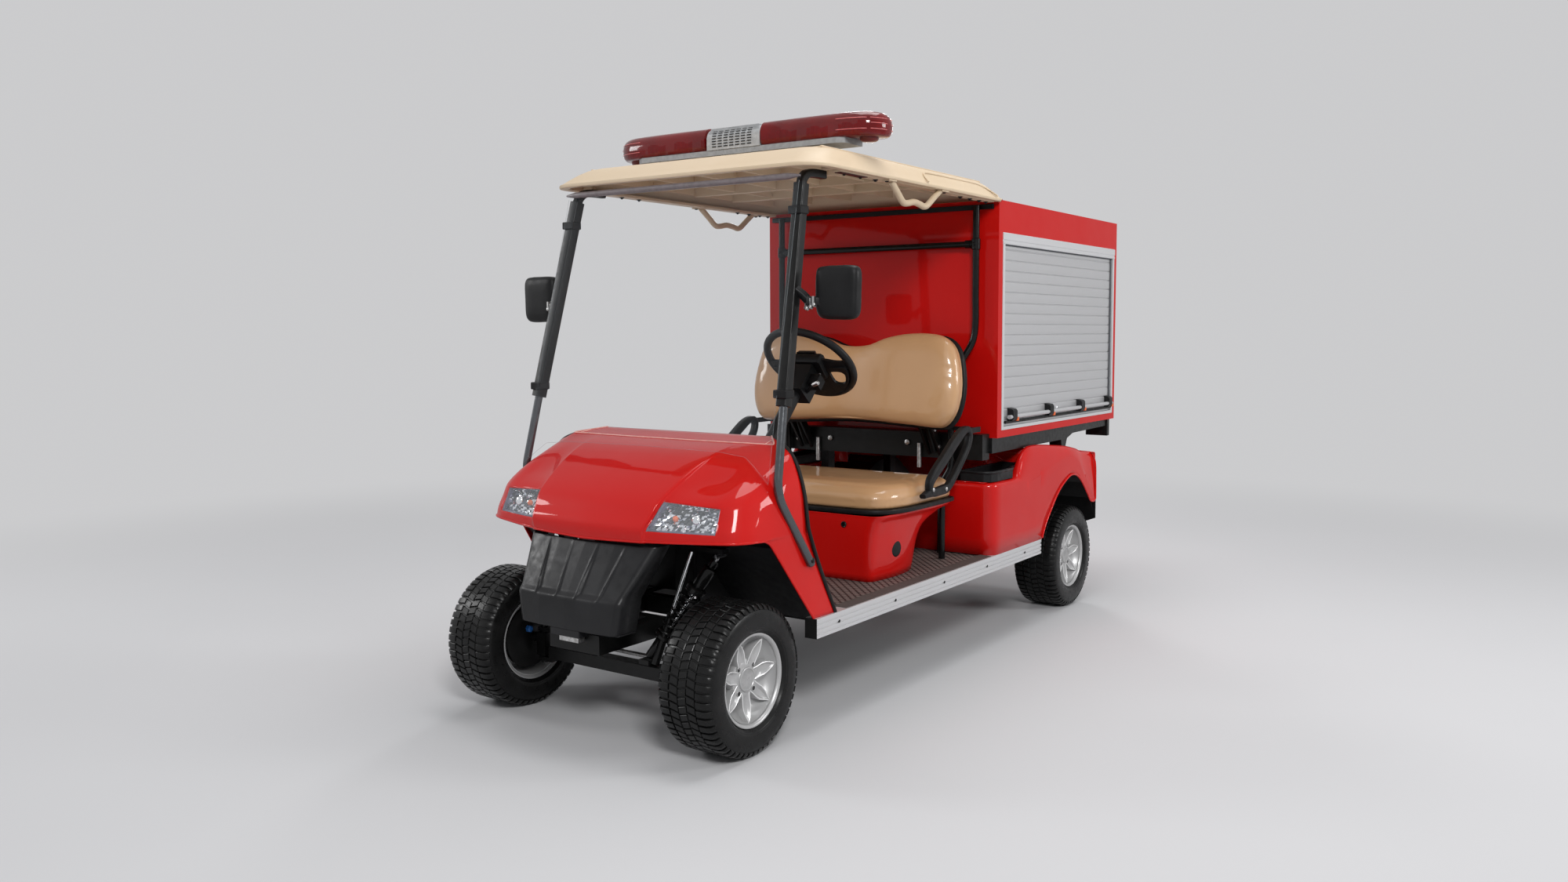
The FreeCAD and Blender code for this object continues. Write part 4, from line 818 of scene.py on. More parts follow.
def rim():
    """The cast wheel: dished barrel, seven leaf spokes with raised edges painted lighter as a highlight,
    hub, cap and nuts whose holes are near-black painted shade.
    """
    wheel = Build()
    dish = [(30, 58), (31, 78), (36, 98), (46, 113), (60, 122), (72, 127), (79, 129), (84, 131.5),
        (86.5, 134), (88, 137.5), (88, 140), (86.5, 141), (84, 141), (80, 139), (76, 130)]
    wheel.grid(turned_rows([tuple(point) for point in curve(dish, 2)], 96), True)
    inner = [(79.7, 128), (-79.7, 128), (-80, 139), (-84, 141), (-87, 141), (-88, 138), (-84, 132),
        (-60, 121), (20, 119), (30, 100), (26, 60)]
    wheel.grid(turned_rows(inner, 72), True)
    hub = [(24, 64), (48, 63), (54, 60), (57, 54), (58, 46), (58.6, 38), (60, 36.5), (63.5, 36),
        (64.5, 34.5), (64.5, 32.5), (62.5, 31), (62, 29), (63, 12), (63.2, 0.5)]
    wheel.grid(turned_rows(hub[:7], 72), True)
    wheel.grid(turned_rows(hub[6:10], 48), True)
    wheel.grid(turned_rows(hub[9:], 48), True, slot=1)
    for index in range(7):
        leaf_spoke(wheel, 2 * math.pi * index / 7 + 0.18)
    for index in range(4):
        turn = 2 * math.pi * (index + 0.5) / 4
        centre = around(58.2, 50.8, turn)
        wheel.disc(centre, (1, 0, 0), [(-2, 8.8), (0.8, 8.6), (1.2, 7.6), (0.6, 6.8)], 20, 0)
        # the hole inside each nut ring is a near-black disc: painted shade
        wheel.disc(centre, (1, 0, 0), [(-2, 6.6), (0.9, 6.6), (0.8, 1)], 20, 2)
    drum = [(-34, 84), (16, 84), (17, 80), (17, 20), (-34, 20)]
    wheel.grid(turned_rows(drum, 48), True, True, slot=2)
    return wheel


def leaf_spoke(wheel, turn):
    """A pointed leaf from the hub to the barrel, hollow between two raised edges that are painted lighter
    as a highlight.
    """
    reaches = np.array([40, 52, 66, 80, 94, 106, 116, 123, 128])
    halves = np.interp(reaches, [40, 60, 84, 100, 114, 124, 128], [19, 19.5, 21, 17, 10, 4.5, 2.5])
    faces = np.interp(reaches, [40, 88, 126], [58.5, 65, 74])
    hollows = np.interp(reaches, [40, 60, 84, 110, 126], [0.5, 5, 9, 7, 1.5])
    rows = []
    for reach, half, face, hollow in zip(reaches, halves, faces, hollows):
        floor = float(np.interp(reach, [58, 78, 98, 113, 122, 127], [30, 31, 36, 46, 60, 70])) - 2
        side = [(half * 0.45, face - hollow), (half - 4.2, face - 1.2), (half - 2.2, face),
            (half - 0.6, face - 1), (half + 0.5, face - 5), (half + 1.5, floor)]
        profile = flipped(side) + [(0, face - hollow * 1.08)] + side
        if half < 8:
            profile = sorted(((across if abs(across) > half * 0.6 else across * half / 8, depth)
                for across, depth in profile), key=lambda spot: spot[0])
        rows.append([around(depth, math.hypot(reach, across), turn + math.atan2(across, reach))
            for across, depth in profile])
    wheel.grid(rows)
    faces = 12 * (len(rows) - 1)
    # the raised edges' crest faces take the lighter edge finish: a painted highlight
    wheel.slots[-faces:] = [3 if place % 12 in (2, 3, 8, 9) else 0 for place in range(faces)]
    wheel.face(range(len(wheel.vertices) - 13, len(wheel.vertices)))


# ---------------------------------------------------------------- upholstery
def swell(thing, voxel, pressure, cap):
    """Blow a closed mesh up like a filled cover, no point by more than the cap; sizes in millimetres."""
    scene, limit = bpy.context.scene, cap / 1000
    remesh = thing.modifiers.new("remesh", "REMESH")
    remesh.mode = "VOXEL"
    remesh.voxel_size = voxel / 1000
    thing.data = bpy.data.meshes.new_from_object(thing.evaluated_get(bpy.context.evaluated_depsgraph_get()))
    thing.modifiers.clear()
    start = [vertex.co.copy() for vertex in thing.data.vertices]
    cloth = thing.modifiers.new("cloth", "CLOTH")
    for name, value in {"quality": 4, "mass": 0.4, "use_pressure": True,
            "uniform_pressure_force": pressure, "tension_stiffness": 12, "compression_stiffness": 12,
            "bending_stiffness": 1.2}.items():
        setattr(cloth.settings, name, value)
    cloth.settings.effector_weights.gravity = 0
    cloth.point_cache.frame_end = 20
    for step in range(1, 21):
        scene.frame_set(step)
    swollen = thing.evaluated_get(bpy.context.evaluated_depsgraph_get()).to_mesh()
    moved = [vertex.co.copy() for vertex in swollen.vertices]
    thing.modifiers.clear()
    scene.frame_set(1)
    for vertex, old, new in zip(thing.data.vertices, start, moved):
        step = new - old
        vertex.co = old + (step.normalized() * limit if step.length > limit else step)
    fix = bmesh.new()
    fix.from_mesh(thing.data)
    for _ in range(2):
        bmesh.ops.smooth_vert(fix, verts=fix.verts, factor=0.5, use_axis_x=True, use_axis_y=True,
            use_axis_z=True)
    fix.to_mesh(thing.data)
    fix.free()
    for face in thing.data.polygons:
        face.use_smooth = True
    rounder = thing.modifiers.new("rounder", "SUBSURF")
    rounder.levels = rounder.render_levels = 1


def pull_seam(thing, place, normal, depth, width):
    """Press a sewn crease into the pad along a plane; depth and half width in millimetres."""
    normal, half = Vector(normal).normalized(), width / 1000
    for vertex in thing.data.vertices:
        off = (vertex.co - place).dot(normal)
        if abs(off) < half:
            vertex.co -= vertex.normal * (depth / 1000) * (0.5 + 0.5 * math.cos(math.pi * off / half))


SEAT_Y, SEAT_HALF_WIDTH, SEAT_HALF_DEPTH = 1121.5, 500, 263.5


def about_seat(points, grow):
    """Points of the seat's plan moved outwards from its middle by millimetres at its ends."""
    return [(x * (1 + grow / SEAT_HALF_WIDTH), SEAT_Y + (y - SEAT_Y) * (1 + grow / SEAT_HALF_DEPTH))
        for x, y in points]


def seat_outline(shrink):
    """The cushion's plan, drawn in by millimetres."""
    half = [(0, 858), (200, 858), (340, 860), (420, 876), (464, 915), (489, 985), (500, 1070), (500, 1230),
        (499, 1350), (488, 1380), (440, 1385), (220, 1385)]
    return about_seat(half + flipped(half[1:]), -shrink)


def cushion():
    """The tan seat cushion with a crowned top and soft front roll, on the lid that lifts."""
    rows = []
    for shrink, height in ((16, 613), (7, 618), (4, 632), (4, 650), (9, 668), (20, 682), (40, 691),
            (90, 697), (150, 700)):
        rows.append([(x, y, height + (0 if height < 660 else 3 * math.cos(math.pi * x / 1100)
            - 5 * max(0, (1121 - y) / 263) ** 2)) for x, y in loop(seat_outline(shrink), 3)])
    pad = Build().grid(spots(rows), True, True).make("seat_cushion_cover", VINYL, "seat_lid", angle=180)
    swell(pad, 9, 4.0, 6)
    for vertex in pad.data.vertices:
        vertex.co.z = max(vertex.co.z, 0.6125)
    pull_seam(pad, mm(0, 0, 640), (0, 0, 1), 3.5, 9)
    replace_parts(pad, "seat_cushion")


BACK_HALF = [(0, 1218), (70, 1225), (150, 1254), (240, 1270), (340, 1271), (420, 1254), (468, 1206),
    (494, 1120), (502, 1029), (490, 950), (464, 902), (430, 880), (300, 883), (140, 892), (0, 897)]
BACK_LEAN = math.radians(10)
BACK_FRONT, BACK_FOOT = 1350, 886
BACK_Z, BACK_HALF_WIDTH, BACK_HALF_HEIGHT = 1075, 504, 198


def on_back(across, depth, height):
    """A place on the leaned seat back: depth back from its front face, height before leaning."""
    rise = height - BACK_FOOT
    return (across, BACK_FRONT + depth * math.cos(BACK_LEAN) + rise * math.sin(BACK_LEAN),
        BACK_FOOT + rise * math.cos(BACK_LEAN) - depth * math.sin(BACK_LEAN))


def back_loop(shrink, depth):
    """The seat back's outline, drawn in towards its middle, at a depth behind its front face."""
    return [on_back(x * (1 - shrink / BACK_HALF_WIDTH), depth,
        BACK_Z + (z - BACK_Z) * (1 - shrink / BACK_HALF_HEIGHT))
        for x, z in loop(BACK_HALF + flipped(BACK_HALF[1:-1]), 3)]


def backrest():
    """The tan seat back: two lobes with a dip between them, over a black moulded shell."""
    levels = [(150, -1), (90, 0), (48, 3), (22, 11), (8, 24), (3, 42), (3, 62), (6, 80), (14, 91), (40, 94)]
    rows = [back_loop(shrink, depth) for shrink, depth in levels]
    pad = Build().grid(spots(rows), True, True).make("seat_back_cover", VINYL, angle=180)
    swell(pad, 9, 4.0, 7)
    normal = Vector((0, math.cos(BACK_LEAN), -math.sin(BACK_LEAN)))
    pull_seam(pad, mm(*on_back(0, 58, BACK_Z)), normal, 3, 9)
    for vertex in pad.data.vertices:
        lobe = math.exp(-(vertex.co.x / 0.09) ** 2)
        if (vertex.co - mm(*on_back(0, 30, BACK_Z))).dot(normal) < 0:
            vertex.co.y += 0.010 * lobe
    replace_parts(pad, "seat_back")


# ---------------------------------------------------------------- steering wheel
COLUMN_TILT = math.radians(42.5)
COLUMN = Vector((0, math.sin(COLUMN_TILT), math.cos(COLUMN_TILT)))
WHEEL_UP = Vector((0, -COLUMN.z, COLUMN.y))
WHEEL_CENTRE = mm(272, 705, 1149)


def on_wheel(across, height, depth):
    """A place on the steering wheel's face, at a depth along its column, in millimetres."""
    return WHEEL_CENTRE + (Vector((across, 0, 0)) + WHEEL_UP * height + COLUMN * depth) / 1000


def steering():
    """The steering wheel: grip, dished web with two openings, trapezoid pad."""
    wheel = Build()
    wheel.tube([on_wheel(163 * math.cos(turn), 163 * math.sin(turn), 0) for turn in circle(96)], 13.8, 20,
        closed=True)
    upper = curve([(54, 40), (84, 36), (120, 24), (155, 22)], 6)
    lower = curve([(50, 2), (84, -8), (118, -12), (158, -14)], 6)
    for side in (1, -1):
        rows = []
        for share, rise in ((0, -13), (0.04, -4), (0.16, 0), (0.5, 1), (0.84, 0), (0.96, -4), (1, -13)):
            rows.append([on_wheel(side * x, z, rise - 8 + 8 * step / 18)
                for step, (x, z) in enumerate(lower + (upper - lower) * share)])
        rows.append([spot - COLUMN * 0.001 for spot in rows[0]])
        wheel.grid(rows)
    lower_web(wheel)
    hub = []
    for depth, grow in ((-32, -6), (-20, 0), (-4, 0), (5, -3), (8, -10)):
        half = [(66 + grow, 46 + grow), (74 + grow, 34), (66 + grow, -40), (54 + grow, -58 - grow)]
        hub.append([on_wheel(x, z, depth) for x, z in half + flipped(half)])
    wheel.grid(hub, True, True)
    raised = []
    for depth, grow in ((6, 3), (12, 0), (19, -2), (22, -6)):
        half = [(36 + grow, 44 + grow), (33 + grow, 6 - grow)]
        raised.append([on_wheel(x, z, depth) for x, z in half + flipped(half)])
    wheel.grid(raised, True, True)
    made = wheel.make("dressed_steering_wheel", BLACK_PLASTIC, "steering_wheel", angle=35, bevel=2.5)
    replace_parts(made, "steering_wheel")


def lower_web(wheel):
    """The web below the pad down to the grip, with a rounded opening on each side."""
    gap = loop([(74, -36), (84, -26), (122, -26), (134, -40), (120, -76), (104, -90), (82, -90), (72, -78)],
        4)
    centre = gap.mean(axis=0)
    surround = []
    for spot in gap:
        ahead = (spot - centre) / np.linalg.norm(spot - centre)
        reach = 8.0
        while reach < 200:
            x, z = centre + ahead * reach
            if math.hypot(x, z) > 152 or x < 46 or z > -4:
                break
            reach += 1.0
        surround.append(centre + ahead * reach)
    surround = np.array(surround)
    lines = ((gap, -19), (gap, -9), (gap + (surround - gap) * 0.12, -6), (surround, -6), (surround, -20),
        (gap, -20))
    for side in (1, -1):
        wheel.grid([[on_wheel(side * x, z, depth) for x, z in line] for line, depth in lines], True)
    block = ((-50, -40), (50, -40), (50, -144), (25, -151), (0, -153), (-25, -151), (-50, -144))
    wheel.grid([[on_wheel(x, z, depth) for x, z in block] for depth in (-20, -7, -6)], True, True)


# ---------------------------------------------------------------- light bar
LENS_PLAN = [(124, 616), (300, 612), (480, 622), (545, 648), (572, 690), (578, 740), (560, 772), (520, 778),
    (300, 772), (124, 768)]
LENS_X, LENS_Y, LENS_LENGTH, LENS_HALF_WIDTH = 124, 694, 454, 84


def in_lens(points, shrink):
    """Points of a lens's plan drawn in from its outer edge."""
    return [(LENS_X + (x - LENS_X) * (1 - shrink / LENS_LENGTH),
        LENS_Y + (y - LENS_Y) * (1 - shrink / LENS_HALF_WIDTH)) for x, y in points]


def light_bar():
    """Two dark-red lens housings with lamp modules inside, thin light-red arcs of painted highlight at
    their ends, and a slotted speaker between them.
    """
    rows = []
    for height, shrink in ((1905.5, 13), (1909, 8), (1916, 3.5), (1928, 0.8), (1942, 0), (1956, 1.5),
            (1968, 6), (1977, 13), (1984, 24), (1987, 39), (1988, 52)):
        rows.append([(x, y, height) for x, y in curve(in_lens(LENS_PLAN, shrink), 5)])
    lens = both_sides(Build().grid(spots(rows), True, True), "beacon_lens", LENS_RED, angle=50)
    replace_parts(lens[0], "light_bar_lenses")
    inside = Build()
    for place, x in enumerate((170, 300, 430)):
        inside.disc(mm(x, LENS_Y, 1915), (0, 0, 1), [(0, 50), (6, 48), (10, 18), (45, 16), (47, 4)], 20,
            slot=place % 2)
        inside.grid([[mm(x + dx, LENS_Y + dy, z) for dx, dy in ((-44, 14), (0, 44), (44, 14))]
            for z in (1922, 1962)], slot=1)
    tip = [(500, 650), (540, 668), (556, 700), (556, 740), (530, 756)]
    inside.grid([[mm(x, y, z) for x, y in tip] for z in (1915, 1958)], slot=1)
    both_sides(inside, "beacon_modules", [LENS_CORE, CHROME_RED], angle=40)
    # thin light-red tubes along the lens ends: painted highlights
    for side, name in SIDES:
        arcs = Build()
        for height, shrink, first, last in ((1926, 0, 430, 545), (1926, 0, 548, 576), (1945, -1, 548, 576),
                (1962, 2, 430, 545), (1962, 2, 548, 576)):
            arc = in_lens([point for point in curve(LENS_PLAN[:8], 8) if first < point[0] < last], shrink)
            arcs.tube([mm(side * x, y, height) for x, y in arc], 1.1, 6)
        arcs.make(f"beacon_arcs_{name}", ARC_PAINTED_HIGHLIGHT)
    under = Build().disc(mm(512, 706, 1906), (0, 0, -1), [(-6, 34), (0, 34), (10, 31), (15, 24), (17, 12),
        (17.2, 1)], 28)
    both_sides(under, "beacon_lower_lobe", LENS_RED)
    speaker()


def speaker():
    """The grey speaker housing: a curved grille with columns of short slots, drawn as dark strips of
    painted shade on its face.
    """
    face = curve([(622, 1905), (621, 1930), (623, 1955), (640, 1976), (690, 1983), (740, 1982), (756, 1974),
        (757, 1905)], 4)
    rows = [[(x, y, z) for y, z in face] for x in np.linspace(-117.5, 117.5, 9)]
    Build().grid(spots(rows), ends=True).make("speaker_housing", SPEAKER, angle=50)
    # the slots are thin black strips on the grille's face: painted shade in place of openings
    slots = Build()
    line = curve([(621, 1908), (620, 1930), (622, 1955), (639, 1977), (690, 1984), (738, 1983)], 6)
    lengths = np.concatenate([[0], np.cumsum(np.linalg.norm(np.diff(line, axis=0), axis=1))])
    for place in np.arange(6, lengths[-1] - 4, 9.5):
        (y, z), (y2, z2) = [[float(np.interp(end, lengths, line[:, part])) for part in (0, 1)]
            for end in (place, place + 3.6)]
        for x in (-92, -66, -40, -14, 12, 38, 64):
            low, high = mm(x, y - 0.6, z), mm(x + 19, y2 - 0.6, z2)
            out = Vector((0, -(high.z - low.z), high.y - low.y)).normalized() * 0.0007
            slots.grid([[Vector((side, end.y, end.z)) + out for side in (low.x, high.x)]
                for end in (low, high)])
    slots.make("speaker_slot_painted_shade", TRIM_RUBBER)


# ---------------------------------------------------------------- equipment box fittings
BOX_HALF, BOX_FRONT, BOX_TOP = 561.5, 1618, 1778
SLAT_START, SLAT_END, SLAT_LOW, SLAT_TOP, SLAT_PITCH = 1675, 2900, 871, 1610, 43
BRACKETS = (1743, 2126, 2492, 2849)


def shutter():
    """One roller shutter: curved slats with hinge grooves, bottom bar, lift bar and brackets."""
    face = BOX_HALF - 8
    line = [(face - 3, SLAT_LOW), (face + 0.5, SLAT_LOW + 1), (face + 0.5, SLAT_LOW + 27),
        (face - 3, SLAT_LOW + 28)]
    level = SLAT_LOW + 28
    while level + 3 < SLAT_TOP:
        for share, out in ((0.02, -3.2), (0.06, -0.5), (0.3, 0.3), (0.6, 0.4), (0.88, 0), (0.93, -1.2),
                (0.97, -3.4)):
            if level + SLAT_PITCH * share < SLAT_TOP:
                line.append((face + out, level + SLAT_PITCH * share))
        level += SLAT_PITCH
    line += [(face - 2, SLAT_TOP), (face - 9, SLAT_TOP), (face - 9, SLAT_LOW)]
    curtain = both_sides(bar_along(line, SLAT_START, SLAT_END), "shutter_curtain", SLAT_METAL, angle=25)
    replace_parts(curtain[0], "shutters")
    for side, name in SIDES:
        bar = Build().tube([mm(side * (BOX_HALF + 10), y, 908) for y in (SLAT_START + 34, SLAT_END - 8)],
            8.5, 18)
        bar.make(f"shutter_lift_bar_{name}", SLAT_METAL)
    low = Build().tube([mm(BOX_HALF + 3, y, 888) for y in (SLAT_START + 10, SLAT_END - 8)], 6, 12)
    both_sides(low, "shutter_seal", TRIM_RUBBER)
    blocks, clips = Build(), Build()
    for place in BRACKETS:
        bar_along([(face - 1, 886), (BOX_HALF + 14, 892), (BOX_HALF + 19.5, 901), (BOX_HALF + 19.5, 932),
            (BOX_HALF + 14, 940), (face - 1, 944)], place - 12, place + 30, blocks)
        blocks.box(mm(face - 1, place + 28, 890), mm(BOX_HALF + 8, place + 49, 936))
        clips.box(mm(BOX_HALF + 8, place + 30, 890), mm(BOX_HALF + 18, place + 48, 910))
    both_sides(blocks, "shutter_brackets", BLACK_PLASTIC, bevel=2)
    both_sides(clips, "shutter_latches", ORANGE, bevel=1.5)
    lock = Build().disc(mm(face - 1, 2255, 916), (1, 0, 0), [(0, 11), (4, 11), (5.5, 9), (4.5, 6),
        (4.5, 1)], 24)
    both_sides(lock, "shutter_lock", CHROME)


def bar_along(section, start, end, build=None):
    """A bar along the cart with a section given by (across, height) points."""
    rows = [[mm(x, y, z) for x, z in section] for y in (start, end)]
    return (build or Build()).grid(rows, True, True)


def box_dress():
    """Both shutters with their headers, dark sheets of painted shade in the guide gaps, and the strip on
    the box's front.
    """
    shutter()
    face, top = BOX_HALF + 2, SLAT_TOP
    header = bar_along([(BOX_HALF - 6, top - 4), (face - 1, top - 4), (face + 1.5, top - 2),
        (face + 1.5, top + 6), (face - 1, top + 8), (face - 1, top + 12), (face + 2.4, top + 14),
        (face + 2.4, top + 40), (BOX_HALF - 2, top + 42)], SLAT_START - 22, SLAT_END + 22)
    both_sides(header, "shutter_header", RAIL_METAL, bevel=0.6)
    # thin dark sheets beside the rails and under the header: painted shade
    gap = Build()
    for start, end, low, high in ((SLAT_END - 17, SLAT_END - 3, SLAT_LOW + 70, top - 6),
            (SLAT_START - 1, SLAT_START + 3, SLAT_LOW, top - 6), (SLAT_START, SLAT_END, top - 9, top - 4)):
        gap.box(mm(BOX_HALF - 5, start, low), mm(BOX_HALF - 4, end, high))
    both_sides(gap, "shutter_guide_painted_shade", SHADE_GREY)
    strip = Build().box(mm(-540, BOX_FRONT - 12, 1742), mm(540, BOX_FRONT - 1, 1762))
    strip.make("box_header_strip", BLACK_PLASTIC, bevel=2)


# ---------------------------------------------------------------- roof
ROOF_HALF, ROOF_FRONT, ROOF_REAR = 575, 288, 1690


def roof_loop(shrink, ends, height):
    """A rounded rectangle on the roof's plan, the same number of points at every height."""
    half, front, rear = ROOF_HALF - shrink, ROOF_FRONT + ends, ROOF_REAR - ends
    corner = 90 - 0.3 * shrink if shrink < 200 else 30
    points = []
    for x_sign, y_edge, y_sign, start in ((1, front, 1, -90), (1, rear, -1, 0), (-1, rear, -1, 90),
            (-1, front, 1, 180)):
        for step in range(9):
            turn = math.radians(start + 90 * step / 8)
            points.append((x_sign * (half - corner) + corner * math.cos(turn),
                y_edge + y_sign * corner + corner * math.sin(turn)))
        if x_sign * y_sign > 0:
            length = rear - front - 2 * corner
            side = 1 if x_sign > 0 else -1
            begin = front + corner if side > 0 else rear - corner
            points += [(side * half, begin + side * length * step / 24) for step in range(1, 24)]
    lowest = BOX_TOP + 0.6
    return [(x, y, max(height, lowest) if y > BOX_FRONT - 4 else height) for x, y in points]


def roof():
    """The cream roof: rolled lip, sloped edge, shallow crown, ribs, side rails and panel edges."""
    steps = [(352, 384, 1860), (154, 206, 1850), (110, 155, 1843), (64, 114, 1830), (34, 40, 1800),
        (28, 28, 1784), (28, 28, 1772), (24, 24, 1768.5), (6, 6, 1768), (1, 1, 1769), (0, 0, 1772),
        (0, 0, 1777), (2, 2, 1780.5), (6, 8, 1783), (18, 32, 1799), (36, 68, 1821), (50, 96, 1834.5),
        (60, 112, 1840), (78, 132, 1845.5), (110, 160, 1850.5), (150, 200, 1855.5), (230, 270, 1862),
        (350, 380, 1868)]
    rows = [roof_loop(*step) for step in steps]
    shell = Build().grid(spots(rows), True, True).make("roof_shell", CREAM, angle=32)
    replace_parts(shell, "roof")
    ribs = Build()
    for y in (430, 760, 1010, 1260):
        ribs.box(mm(-500, y, 1800), mm(500, y + 20, 1846))
    for x in (-545, 500):
        ribs.box(mm(x, 430, 1770), mm(x + 45, 450, 1795))
    for x in (-505, -300, -100, 100, 300, 495):
        ribs.box(mm(x, 430, 1806), mm(x + 10, 1560, 1848))
    ribs.make("roof_ribs", CREAM, bevel=3)
    rail = Build().box(mm(512, 470, 1766), mm(549, 1600, 1777))
    both_sides(rail, "roof_side_rail", CREAM, bevel=3)
    panel = curve([(574.6, 1006, 1783), (556, 1012, 1803), (541, 1030, 1818), (536, 1080, 1823),
        (534, 1250, 1824), (534, 1440, 1824), (540, 1500, 1818), (556, 1546, 1803), (573, 1575, 1785)], 8)
    for side, name in SIDES:
        edge = Build().tube([mm(side * x * 1.002, y, z + 1.5) for x, y, z in panel], 3.2, 8)
        edge.make(f"roof_panel_edge_{name}", CREAM)
    bolts = discs([(530, y, 1766.2) for y in (520, 620, 716, 1340, 1420, 1500, 1560)], (0, 0, -1),
        [(0, 9.5), (3, 9), (3.5, 5), (7, 4.5), (8, 1)], 16)
    both_sides(bolts, "roof_bolts", BLACK_STEEL)
    strip = Build().box(mm(520, 480, 1763.5), mm(546, 640, 1766))
    strip.make("roof_edge_reflector", LENS_CORE)


HANDLE = [(554, 779, 1767), (553, 800, 1752), (551, 836, 1726), (550, 860, 1708), (549, 878, 1701),
    (549, 904, 1703), (549, 946, 1710), (549, 990, 1706), (549, 1018, 1701), (550, 1040, 1706),
    (552, 1088, 1738), (554, 1132, 1767)]
RIGHT_HANDLE_BACK = 343


def handles():
    """A cream grab handle under each side of the roof, on bolted pads."""
    for side, name, back in ((1, "left", 0), (-1, "right", RIGHT_HANDLE_BACK)):
        bar = Build()
        bar.tube([mm(side * x, y + back, z) for x, y, z in curve(HANDLE, 5)], 11.5, 16)
        for y in (766, 1146):
            bar.box(mm(side * 539, y + back - 26, 1763), mm(side * 571, y + back + 26, 1768.5))
        made = bar.make(f"grab_handle_{name}", CREAM, bevel=1.5)
        if side > 0:
            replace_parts(made, "grab_handles")
        bolts = discs([(side * 555, y + back, 1763.2) for y in (750, 1162)], (0, 0, -1),
            [(0, 7), (3, 6.8), (4.2, 4), (4.4, 1)], 14)
        bolts.make(f"grab_handle_bolts_{name}", BLACK_STEEL)


# ---------------------------------------------------------------- struts, windshield, mirrors
STRUT_FOOT, STRUT_BEND = (576, 255, 545), (545, 122, 768)
SLEEVE_FOOT, SLEEVE_TOP = (529, 180, 1031), (486, 341, 1719)


def square_tube(build, points, width, rounding):
    """A square bar with rounded corners along points in millimetres."""
    points = places(points)
    rows, across = [], Vector((1, 0, 0))
    for index, point in enumerate(points):
        ahead = (points[min(index + 1, len(points) - 1)] - points[max(index - 1, 0)]).normalized()
        side = (across - ahead * across.dot(ahead)).normalized()
        up = ahead.cross(side)
        row = []
        for corner in range(4):
            for step in range(5):
                turn = math.radians(90 * corner + 90 * step / 4)
                u = (width / 2 - rounding) * (1 if corner in (0, 3) else -1) + rounding * math.cos(turn)
                v = (width / 2 - rounding) * (1 if corner in (0, 1) else -1) + rounding * math.sin(turn)
                row.append(point + (side * u + up * v) / 1000)
        rows.append(row)
    return build.grid(rows, True, True)


def struts():
    """The roof's front struts: a bent glossy foot, a square sleeve and a hook under the roof."""
    start, end = (between(STRUT_BEND, other, 0.2) for other in (STRUT_FOOT, SLEEVE_FOOT))
    bend = [STRUT_FOOT, between(STRUT_BEND, STRUT_FOOT, 0.6), start]
    for step in range(1, 8):
        t = step / 8
        bend.append(tuple((1 - t) ** 2 * a + 2 * t * (1 - t) * b + t ** 2 * c
            for a, b, c in zip(start, STRUT_BEND, end)))
    bend += [between(STRUT_BEND, SLEEVE_FOOT, share) for share in (0.2, 0.6, 1.08)]
    lower = Build().tube(places(bend), 13.5, 20)
    lower.disc(mm(*STRUT_FOOT), mm(*STRUT_FOOT) - mm(*STRUT_BEND), [(-4, 13.9), (4, 13.9), (10, 11),
        (12.5, 6), (13, 1)], 20)
    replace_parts(both_sides(lower, "strut_foot", TUBE_GLOSS)[0], "front_struts")
    both_sides(square_tube(Build(), [SLEEVE_FOOT, SLEEVE_TOP], 38, 5), "strut_sleeve", BLACK_STEEL)
    hook = curve([SLEEVE_TOP, (484, 350, 1736), (483, 372, 1752), (483, 410, 1758), (483, 470, 1759)], 5)
    both_sides(square_tube(Build(), hook, 27, 5), "strut_hook", BLACK_STEEL)
    bolts = discs([(586, 252, 553), (563, 190, 660)], (1, 0, 0.2),
        [(-20, 6), (0, 9), (3, 8.8), (4, 5), (4.2, 1)], 14)
    both_sides(bolts, "strut_bolts", GLOSS_BLACK)
    clamp = Build()
    for x, y, z in ((527, 186, 1056), (492, 318, 1622)):
        clamp.box(mm(x - 25, y - 26, z), mm(x + 24, y + 22, z + 26))
    both_sides(clamp, "windshield_clamps", BLACK_PLASTIC, bevel=4)


SHEET_FOOT_Y, SHEET_FOOT_Z, SHEET_SLOPE = 118, 880, 0.2286


def windshield():
    """The clear sheet's polished edge and its rounded top moulding."""
    outline = ((0, 890), (330, 886), (430, 876), (470, 848), (528, 802), (526, 870), (520, 1000),
        (508, 1380), (498, 1726))
    edge = Build().tube([mm(x, SHEET_FOOT_Y + SHEET_SLOPE * (z - SHEET_FOOT_Z), z) for x, z in outline],
        0.8, 8)
    both_sides(edge, "windshield_edge", SHEET_EDGE)
    strip = Build().tube([mm(x, 307, 1740) for x in np.linspace(-504, 504, 24)], [3] + [10.5] * 22 + [3],
        16)
    strip.make("windshield_top_moulding", STRIP)


MIRROR_X, MIRROR_Z = 641.4, 1376


